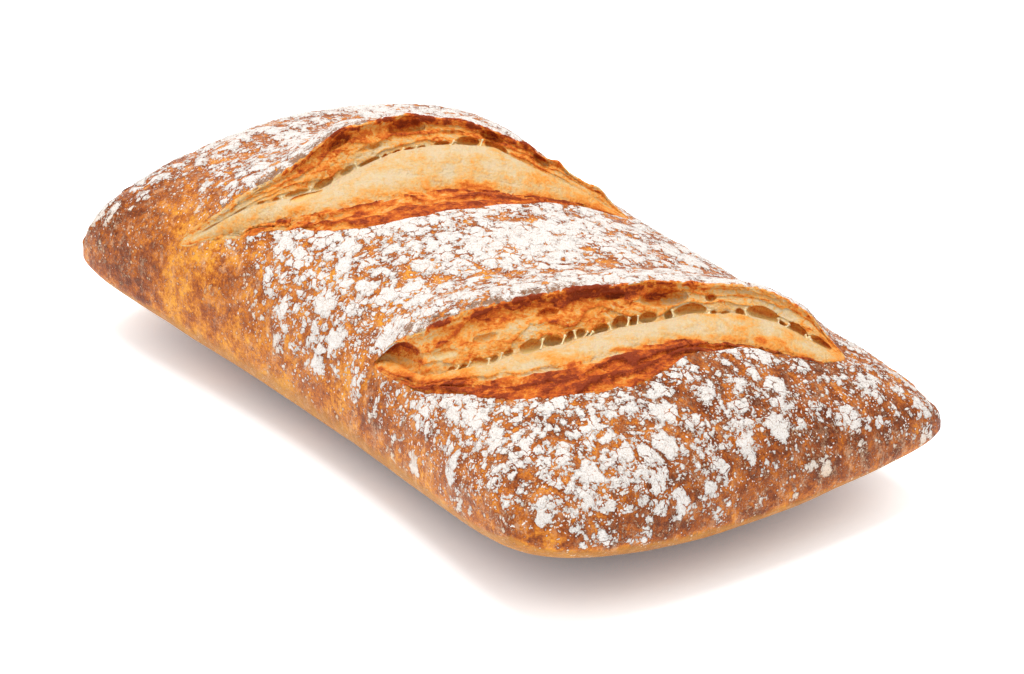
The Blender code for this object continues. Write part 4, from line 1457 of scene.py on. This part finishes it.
class Sweep:
    """The grid of one slash: where its points lie, its zones and the noises that they share."""

    def __init__(self, slash, settings):
        self.slash = slash
        self.length = chord_frame(slash)[3]
        share, across, height, down, toast, places, run = slash_grid(slash, settings)
        self.share, self.across, self.height = share, across, height
        self.down, self.toast, self.run = down, toast, run
        stations = (LIP_STATION, ROW_STATION, BAND_STATION, LAST_STATION)
        self.lip, self.row, self.near, self.last = (down[:, places[number]][:, None] for number in stations)
        self.calm = eased(from_ends(slash, self.share), 0.0, CALM_RELIEF)
        self.face = zone(down, self.lip - 0.3 * MM, self.lip + 1.2 * MM, self.row - 2.2 * MM, self.row)
        self.band = zone(down, self.near - 2.5 * MM, self.near + 1 * MM, self.last - 1.5 * MM, self.last)
        self.crumb = zone(down, self.row - 0.6 * MM, self.row + 1.5 * MM, self.near - 2 * MM, self.near)
        self.on_lip = 1 - eased(down, self.lip + 0.5 * MM, self.lip + 2.0 * MM)
        self.skin = self.face + self.band + self.on_lip
        self.face_part = (down - self.lip) / (self.row - self.lip)
        self.band_part = (down - self.near) / (self.last - self.near)
        self.tears = self.noise((0.45, 1.0, 1.0), 2.6 * MM, 5, 4)
        self.grit = self.noise((1.0, 1.0, 1.0), 1.1 * MM, 9, 3)
        self.lumps = self.noise((1.0, 1.0, 1.0), 6 * MM, 6, 3)
        self.stretch = self.noise((1.0, 0.22, 1.0), 1.1 * MM, 7, 2)
        self.patches = self.noise((0.8, 1.0, 1.0), 3.4 * MM, 8, 4)
        self.face_steps, self.face_edges = torn_layers(self.run, self.face_part, FACE_LAYERS, slash.seed + 3)
        self.band_steps, self.band_edges = torn_layers(self.run, self.band_part, BAND_LAYERS, slash.seed + 4)

    def noise(self, pull, size, seed, layers):
        """Noise over the slash's own skin, drawn out by the pull."""
        flow = np.stack((self.run, self.down, np.full_like(self.run, self.slash.seed * 0.01)), axis=-1)
        return layered_noise(flow * np.array(pull), size, self.slash.seed + seed, layers)

    def bowl(self, opening, centre, ragged):
        """A steep-sided bowl of an opening's size, 1 at its middle and 0 from its rim on."""
        along = (self.run - opening.share * self.length) / (opening.half_along * MM)
        down = (self.down - centre) / (opening.half_across * MM)
        away = along**2 + down**2
        return np.sqrt(np.clip(1 - away + np.where(away < 1.3, ragged * self.tears * away, 0), 0, 1))


def slash_relief(sweep):
    """How far the torn layers, the crumb and the lip stand out."""
    relief = (
        sweep.face * (0.40 * sweep.face_steps - 0.14 + 0.65 * sweep.tears)
        + sweep.band * (1.00 * sweep.band_steps - 0.3 + 0.75 * sweep.tears)
        + sweep.crumb * (0.55 * sweep.lumps + 0.30 * sweep.patches + 0.12 * sweep.stretch)
        + sweep.on_lip * (0.55 * sweep.tears + 0.45 * sweep.grit)
    )
    return MM * sweep.calm * relief


def slash_browning(sweep):
    """Browning of a slash before its bubbles and pockets, from 0 for crumb to 1 for a burnt rim."""
    tears, grit = sweep.tears, sweep.grit
    skin = np.clip(sweep.skin, 0, 1)
    face = 0.20 * sweep.face_edges - 0.06 * (sweep.face_steps < 0.25) + 0.38 * tears + 0.20 * grit
    band = 0.06 + 0.22 * sweep.band_edges - 0.14 * (sweep.band_steps < 0.2) + 0.50 * tears + 0.20 * grit
    crumb = 0.10 * sweep.lumps + 0.34 * np.maximum(sweep.patches, -0.1) + 0.06 * sweep.stretch
    toast = shifted_rows(sweep.toast, 13 * tears * sweep.calm * skin)
    toast = toast + sweep.face * face + sweep.on_lip * (0.70 * tears + 0.55 * grit) + sweep.band * band
    toast = np.maximum(toast, LEAST_BROWNING * skin) + sweep.crumb * crumb
    beyond = sweep.last - sweep.row
    section = np.where(sweep.down < sweep.row, sweep.face_part, 1 + (sweep.down - sweep.row) / beyond)
    section_size = np.where(sweep.down < sweep.row, sweep.row - sweep.lip, beyond)
    ragged = np.clip(1 + 0.7 * tears + 0.3 * grit, 0, 2)
    for scorch in sweep.slash.scorches:
        along = (sweep.run - scorch.share * sweep.length) / (scorch.half_along * MM)
        aside = np.abs(section - scorch.place) * section_size / (scorch.half_across * MM)
        toast = toast + scorch.toast * np.exp(-((along**2 + aside**2) ** 1.3)) * ragged
    return toast


def slash_openings(sweep, toast):
    """How far the pockets and bubbles go in, how pale the bubbles are inside, and the browning with them; a
    bubble's pale floor is painted light and its browner top painted shade.
    """
    back = np.zeros_like(sweep.run)
    hollow = np.zeros_like(sweep.run)
    for pocket in sweep.slash.pockets:
        centre = sweep.lip + pocket.place * (sweep.row - sweep.lip)
        bowl = sweep.bowl(pocket, centre, 0.25)
        back = back + pocket.depth * MM * bowl
        # A pocket browns towards its top: partly browned skin, partly painted shade under the overhang
        toast = toast + pocket.toast * bowl * eased(centre - sweep.down, -1.2 * MM, 1.0 * MM)
    for bubble in sweep.slash.bubbles:
        centre = sweep.row - (0.80 * bubble.half_across + bubble.rise) * MM
        bowl = sweep.bowl(bubble, centre, 0.12)
        back = np.maximum(back, 0.92 * bubble.depth * MM * bowl)
        # Browner towards the top of each bubble: painted shade under its overhanging rim
        painted_shade_top = eased((centre - sweep.down) / (bubble.half_across * MM), -0.45, 0.5)
        toast = np.where(bowl > 0, 0.10 + 0.42 * painted_shade_top, toast)
        # Paler towards the floor of each bubble, where the hollow colour goes: painted light on its lower
        # part
        paleness = np.clip(0.9 - 0.8 * painted_shade_top, 0, 1) * min(1.0, bubble.depth / 2.4)
        hollow = np.maximum(hollow, bowl**0.5 * paleness)
    return back, hollow, toast


def build_slash(slash, settings, material):
    """The inside of one slash, swept along the cut."""
    sweep = Sweep(slash, settings)
    push = slash_relief(sweep)
    back, hollow, toast = slash_openings(sweep, slash_browning(sweep))
    whole = slash_points(sweep, np.zeros_like(back), push)
    carved = slash_points(sweep, back, push)
    lip_top = 1 - eased(sweep.down, sweep.lip - 1.2 * MM, sweep.lip - 0.3 * MM)
    fields = {
        "toast": toast,
        "hollow": hollow,
        "flour": smooth_curve(slash.lip_flour, sweep.share) * lip_top,
        "torn": np.clip(sweep.skin + 0.15, 0, 1) * (1 - np.clip(3 * hollow, 0, 1)),
    }
    faces = grid_faces(*sweep.share.shape)[:, ::-1]
    piece = mesh_piece(slash.name, carved.reshape(-1, 3), faces.tolist(), fields)
    finish_piece(piece, material)
    return whole, sweep.down, sweep.row


def shifted_rows(values, shift):
    """Values read some rows further down, which makes their borders ragged."""
    rows = np.clip(np.arange(values.shape[1])[None, :] + shift, 0, values.shape[1] - 1.001)
    low = rows.astype(int)
    part = rows - low
    return np.take_along_axis(values, low, 1) * (1 - part) + np.take_along_axis(values, low + 1, 1) * part


def slash_points(sweep, back, push):
    """Points of a slash in the row's frame, set back into its openings and pushed out by its relief."""
    start, ahead, right, length = chord_frame(sweep.slash)
    across = sweep.across - CARVE_ACROSS * back
    x = start[0] + ahead[0] * sweep.run + right[0] * across
    y = start[1] + ahead[1] * sweep.run + right[1] * across
    u, v = flat_of(x, y)
    height = dome_height(u, v) + sweep.height - CARVE_DOWN * back
    points = np.stack((x - MIDDLE[0], y - MIDDLE[1], height), axis=-1)
    normals = grid_normals(points)
    if normals[..., 2].mean() < 0:
        normals = -normals
    return points + normals * push[..., None]


def tube(path, radii, sides=7):
    """Points and faces of a closed tube along a path."""
    path = np.asarray(path)
    ahead = np.gradient(path, axis=0)
    ahead /= np.linalg.norm(ahead, axis=1, keepdims=True)
    aside = np.cross(ahead, np.array((0.3, 0.2, 1.0)))
    aside /= np.linalg.norm(aside, axis=1, keepdims=True)
    upward = np.cross(aside, ahead)
    turn = np.linspace(0, 2 * math.pi, sides, endpoint=False)
    ring = aside[:, None, :] * np.cos(turn)[None, :, None] + upward[:, None, :] * np.sin(turn)[None, :, None]
    points = (path[:, None, :] + ring * np.asarray(radii)[:, None, None]).reshape(-1, 3)
    faces = []
    for step in range(len(path) - 1):
        here = step * sides
        there = here + sides
        for side in range(sides):
            after = (side + 1) % sides
            faces.append((here + side, here + after, there + after, there + side))
    faces.append(tuple(range(sides))[::-1])
    faces.append(tuple((len(path) - 1) * sides + side for side in range(sides)))
    return points, faces


def strand_path(points, down, row_down, column, top, foot, lean):
    """A strand on the wall between two bubbles, from above them to the crumb below."""
    columns = len(points)
    high = row_down[column] - top * MM
    low = row_down[column] + foot * MM
    path = []
    for part in np.linspace(0, 1, STRAND_STEPS):
        here = int(np.clip(column + lean * (0.5 - part), 0, columns - 1))
        row = np.argmin(np.abs(down[here] - (high + (low - high) * part)))
        path.append(points[here, row])
    path = np.array(path)
    straight = path[0] + (path[-1] - path[0]) * np.linspace(0, 1, STRAND_STEPS)[:, None]
    return 0.5 * path + 0.5 * straight


def build_strands(settings, surfaces, material):
    """The gluten strands that stand on the walls between the open bubbles."""
    all_points, all_faces = [], []
    count = 0
    draw = np.random.default_rng(settings.strand_seed)
    for slash, (points, down, row_down) in zip(SLASHES, surfaces):
        length = chord_frame(slash)[3]
        row = [bubble for bubble in slash.bubbles if abs(bubble.rise) < 2]
        for before, after in zip(row, row[1:]):
            gap = (after.share - before.share) * length / MM - before.half_along - after.half_along
            if gap > WIDEST_WALL or min(before.half_across, after.half_across) < NARROWEST_BUBBLE:
                continue
            middle = before.share + (before.half_along + gap / 2) * MM / length
            column = int(round(middle * (len(points) - 1)))
            lean = draw.uniform(-5, 5)
            top = 1.7 * min(before.half_across, after.half_across) + (before.rise + after.rise) / 2
            path = strand_path(points, down, row_down[:, 0], column, top, 0.25, lean)
            share = np.linspace(-1, 1, len(path))
            radii = settings.strand_radius * draw.uniform(0.75, 1.2) * (1 + 1.4 * np.abs(share) ** 3)
            made, faces = tube(path, radii)
            all_points.append(made)
            all_faces += [tuple(count + index for index in face) for face in faces]
            count += len(made)
    strands = mesh_piece("gluten_strands", np.concatenate(all_points), all_faces)
    finish_piece(strands, material)


class LoafSettings(bpy.types.PropertyGroup):
    """Sizes and colours of the crust and its flour."""

    steps_along: bpy.props.IntProperty(
        name="Steps along", description="Points of the crust along the loaf", default=345
    )
    steps_across: bpy.props.IntProperty(
        name="Steps across", description="Points of the crust across it", default=230
    )
    under_rings: bpy.props.IntProperty(name="Rings below", description="Rings of the underside", default=16)
    clump_size: bpy.props.FloatProperty(
        name="Clump size",
        description="Size of a plate of flour",
        default=0.0068,
        unit="LENGTH",
        precision=4,
    )
    flour_thickness: bpy.props.FloatProperty(
        name="Flour thickness",
        description="Height of a flour plate",
        default=0.00032,
        unit="LENGTH",
        precision=5,
    )
    clumps_per_square_metre: bpy.props.FloatProperty(
        name="Clumps", description="Loose clumps of flour on a square metre", default=900000.0
    )
    clump_radius_low: bpy.props.FloatProperty(
        name="Smallest clump",
        description="Radius of the smallest clump",
        default=0.00014,
        unit="LENGTH",
        precision=5,
    )
    clump_radius_high: bpy.props.FloatProperty(
        name="Largest clump",
        description="Radius of the largest clump",
        default=0.00036,
        unit="LENGTH",
        precision=5,
    )
    clump_seed: bpy.props.IntProperty(
        name="Clump seed", description="Changes the scatter of clumps", default=3
    )
    amber_colour: bpy.props.FloatVectorProperty(
        name="Amber", description="Palest crust", subtype="COLOR", size=4, default=srgb(230, 158, 50)
    )
    golden_colour: bpy.props.FloatVectorProperty(
        name="Golden", description="Golden crust", subtype="COLOR", size=4, default=srgb(194, 108, 26)
    )
    brown_colour: bpy.props.FloatVectorProperty(
        name="Brown", description="Well baked crust", subtype="COLOR", size=4, default=srgb(148, 70, 18)
    )
    dark_colour: bpy.props.FloatVectorProperty(
        name="Dark", description="Darkest crust", subtype="COLOR", size=4, default=srgb(96, 40, 10)
    )
    flour_colour: bpy.props.FloatVectorProperty(
        name="Flour", description="Thick flour", subtype="COLOR", size=4, default=srgb(230, 225, 220)
    )
    flour_shade: bpy.props.FloatVectorProperty(
        name="Flour shade",
        description="Thin or shaded flour",
        subtype="COLOR",
        size=4,
        default=srgb(204, 188, 174),
    )
    thin_flour_colour: bpy.props.FloatVectorProperty(
        name="Rubbed flour",
        description="Flour that browned with the crust",
        subtype="COLOR",
        size=4,
        default=srgb(232, 196, 156),
    )
    base_colour: bpy.props.FloatVectorProperty(
        name="Underside",
        description="Paler crust low down",
        subtype="COLOR",
        size=4,
        default=srgb(172, 116, 44),
    )
    soot_colour: bpy.props.FloatVectorProperty(
        name="Toasted flour",
        description="Flour that browned on an ear",
        subtype="COLOR",
        size=4,
        default=srgb(132, 90, 58),
    )


class SlashSettings(bpy.types.PropertyGroup):
    """Sizes and colours of what the slashes show."""

    slash_steps: bpy.props.IntProperty(name="Steps", description="Points along a slash", default=540)
    grain_turn: bpy.props.FloatProperty(
        name="Grain direction",
        description="Direction of the torn fibres",
        default=math.radians(54.0),
        subtype="ANGLE",
    )
    strand_radius: bpy.props.FloatProperty(
        name="Strand radius",
        description="Half the thickness of a gluten strand",
        default=0.00022,
        unit="LENGTH",
        precision=5,
    )
    strand_seed: bpy.props.IntProperty(name="Strand seed", description="Changes the strands", default=4)
    crumb_colour: bpy.props.FloatVectorProperty(
        name="Crumb", description="Palest crumb", subtype="COLOR", size=4, default=srgb(204, 180, 142)
    )
    cream_colour: bpy.props.FloatVectorProperty(
        name="Cream", description="Yellower crumb", subtype="COLOR", size=4, default=srgb(208, 166, 106)
    )
    orange_colour: bpy.props.FloatVectorProperty(
        name="Orange", description="Stretched skin", subtype="COLOR", size=4, default=srgb(220, 146, 62)
    )
    tan_colour: bpy.props.FloatVectorProperty(
        name="Tan", description="Toasted tear", subtype="COLOR", size=4, default=srgb(206, 108, 30)
    )
    tear_colour: bpy.props.FloatVectorProperty(
        name="Tear", description="Browned tear", subtype="COLOR", size=4, default=srgb(178, 78, 22)
    )
    rim_colour: bpy.props.FloatVectorProperty(
        name="Rim",
        description="Darkest rim of an ear",
        subtype="COLOR",
        size=4,
        default=srgb(130, 48, 14),
    )
    # Pale colour inside a bubble, made lighter as painted light on its floor
    hollow_lit_colour: bpy.props.FloatVectorProperty(
        name="Hollow",
        description="Inside of an open bubble",
        subtype="COLOR",
        size=4,
        default=srgb(222, 186, 116),
    )
    lip_flour_colour: bpy.props.FloatVectorProperty(
        name="Flour on the lip",
        description="Toasted flour on a lip",
        subtype="COLOR",
        size=4,
        default=srgb(170, 142, 116),
    )
    strand_colour: bpy.props.FloatVectorProperty(
        name="Strand", description="Gluten strand", subtype="COLOR", size=4, default=srgb(232, 208, 156)
    )


class StageSettings(bpy.types.PropertyGroup):
    """Camera, lights and floor."""

    lens: bpy.props.FloatProperty(name="Lens", description="Focal length in mm", default=120.0)
    azimuth: bpy.props.FloatProperty(
        name="Azimuth", description="Direction of the view", default=math.radians(53.235), subtype="ANGLE"
    )
    elevation: bpy.props.FloatProperty(
        name="Elevation", description="Height of the view", default=math.radians(28.573), subtype="ANGLE"
    )
    distance: bpy.props.FloatProperty(
        name="Distance", description="From camera to target", default=0.96495, unit="LENGTH"
    )
    target: bpy.props.FloatVectorProperty(
        name="Target",
        description="What the camera looks at",
        default=(0.00136, 0.0054, 0.020),
        subtype="TRANSLATION",
    )
    floor_colour: bpy.props.FloatVectorProperty(
        name="Floor", description="Pale floor", subtype="COLOR", size=4, default=(0.84, 0.88, 0.92, 1.0)
    )
    # Glow of the floor, faded near the loaf to paint its soft shadow
    floor_glow_painted_shadow: bpy.props.FloatProperty(
        name="Floor glow",
        description="Light that comes through the table, as on a light table",
        default=0.68,
    )
    shadow_reach: bpy.props.FloatProperty(
        name="Shadow reach",
        description="How far from the loaf its shadow is seen",
        default=0.06,
        unit="LENGTH",
    )
    floor_size: bpy.props.FloatProperty(
        name="Floor size", description="Side of the floor", default=12.0, unit="LENGTH"
    )
    key_power: bpy.props.FloatProperty(
        name="Key power", description="Power of the soft light overhead", default=17.5
    )
    fill_power: bpy.props.FloatProperty(
        name="Fill power", description="Power of the fill light", default=1.2
    )
    world_strength: bpy.props.FloatProperty(
        name="Surroundings", description="Light from all round", default=0.73
    )


def area_light(name, place, aim, size, power):
    """A square soft light that points at a place."""
    data = bpy.data.lights.new(name, "AREA")
    data.shape = "SQUARE"
    data.size = size
    data.energy = power
    light = bpy.data.objects.new(name, data)
    light.location = place
    light.rotation_euler = (Vector(aim) - Vector(place)).to_track_quat("-Z", "Y").to_euler()
    bpy.context.scene.collection.objects.link(light)


def build_stage(settings):
    """Camera, floor, lights and surroundings."""
    scene = bpy.context.scene
    target = Vector(settings.target)
    flat = math.cos(settings.elevation)
    back = Vector(
        (math.sin(settings.azimuth) * flat, -math.cos(settings.azimuth) * flat, math.sin(settings.elevation))
    )
    data = bpy.data.cameras.new("camera")
    data.lens = settings.lens
    data.sensor_width = 36.0
    camera = bpy.data.objects.new("camera", data)
    camera.location = target + back * settings.distance
    camera.rotation_euler = (-back).to_track_quat("-Z", "Y").to_euler()
    scene.collection.objects.link(camera)
    scene.camera = camera
    half = settings.floor_size / 2
    corners = np.array(((-half, -half, 0), (half, -half, 0), (half, half, 0), (-half, half, 0)))
    floor = mesh_piece("floor", corners, [(0, 1, 2, 3)])
    floor.data.materials.append(floor_material(settings))
    area_light("key", KEY_PLACE, (0, 0, 0), KEY_SIZE, settings.key_power)
    area_light("fill", FILL_PLACE, (0, 0, 0.02), FILL_SIZE, settings.fill_power)
    world = bpy.data.worlds.new("surroundings")
    world.use_nodes = True
    world.node_tree.nodes["Background"].inputs["Color"].default_value = (1.0, 1.0, 1.0, 1.0)
    world.node_tree.nodes["Background"].inputs["Strength"].default_value = settings.world_strength
    scene.world = world
    scene.view_settings.view_transform = "Standard"


class LOAF_OT_stage(bpy.types.Operator):
    """Set up the camera, the floor and the lights"""

    bl_idname = "loaf.stage"
    bl_label = "Stage"

    def execute(self, context):
        build_stage(context.scene.loaf_stage)
        return {"FINISHED"}


class LOAF_OT_crust(bpy.types.Operator):
    """Build the floured crust"""

    bl_idname = "loaf.crust"
    bl_label = "Crust"

    def execute(self, context):
        build_crust(context.scene.loaf_crust)
        return {"FINISHED"}


class LOAF_OT_clumps(bpy.types.Operator):
    """Scatter small clumps of flour over the crust"""

    bl_idname = "loaf.clumps"
    bl_label = "Flour clumps"

    def execute(self, context):
        build_clumps(context.scene.loaf_crust)
        return {"FINISHED"}


class LOAF_OT_slashes(bpy.types.Operator):
    """Build the inside of both slashes and the strands across their bubbles"""

    bl_idname = "loaf.slashes"
    bl_label = "Slashes"

    def execute(self, context):
        settings = context.scene.loaf_slash
        material = slash_material(settings)
        surfaces = [build_slash(slash, settings, material) for slash in SLASHES]
        build_strands(settings, surfaces, strand_material(settings))
        return {"FINISHED"}


class LOAF_PT_panel(bpy.types.Panel):
    """Lists the steps that build the loaf"""

    bl_label = "Loaf"
    bl_idname = "LOAF_PT_panel"
    bl_space_type = "VIEW_3D"
    bl_region_type = "UI"
    bl_category = "Loaf"

    def draw(self, context):
        for step in STEPS:
            self.layout.operator(step.bl_idname)


STEPS = (LOAF_OT_stage, LOAF_OT_crust, LOAF_OT_clumps, LOAF_OT_slashes)
GROUPS = {"loaf_crust": LoafSettings, "loaf_slash": SlashSettings, "loaf_stage": StageSettings}


def register():
    """Make the settings, the steps and the panel known."""
    for name, group in GROUPS.items():
        bpy.utils.register_class(group)
        setattr(bpy.types.Scene, name, bpy.props.PointerProperty(type=group))
    for step in (*STEPS, LOAF_PT_panel):
        bpy.utils.register_class(step)


def unregister():
    """Take them away again."""
    for step in (LOAF_PT_panel, *reversed(STEPS)):
        bpy.utils.unregister_class(step)
    for name, group in GROUPS.items():
        delattr(bpy.types.Scene, name)
        bpy.utils.unregister_class(group)


def main():
    """Build the whole scene."""
    register()
    bpy.ops.loaf.stage()
    bpy.ops.loaf.crust()
    bpy.ops.loaf.clumps()
    bpy.ops.loaf.slashes()


if __name__ == "__main__":
    main()
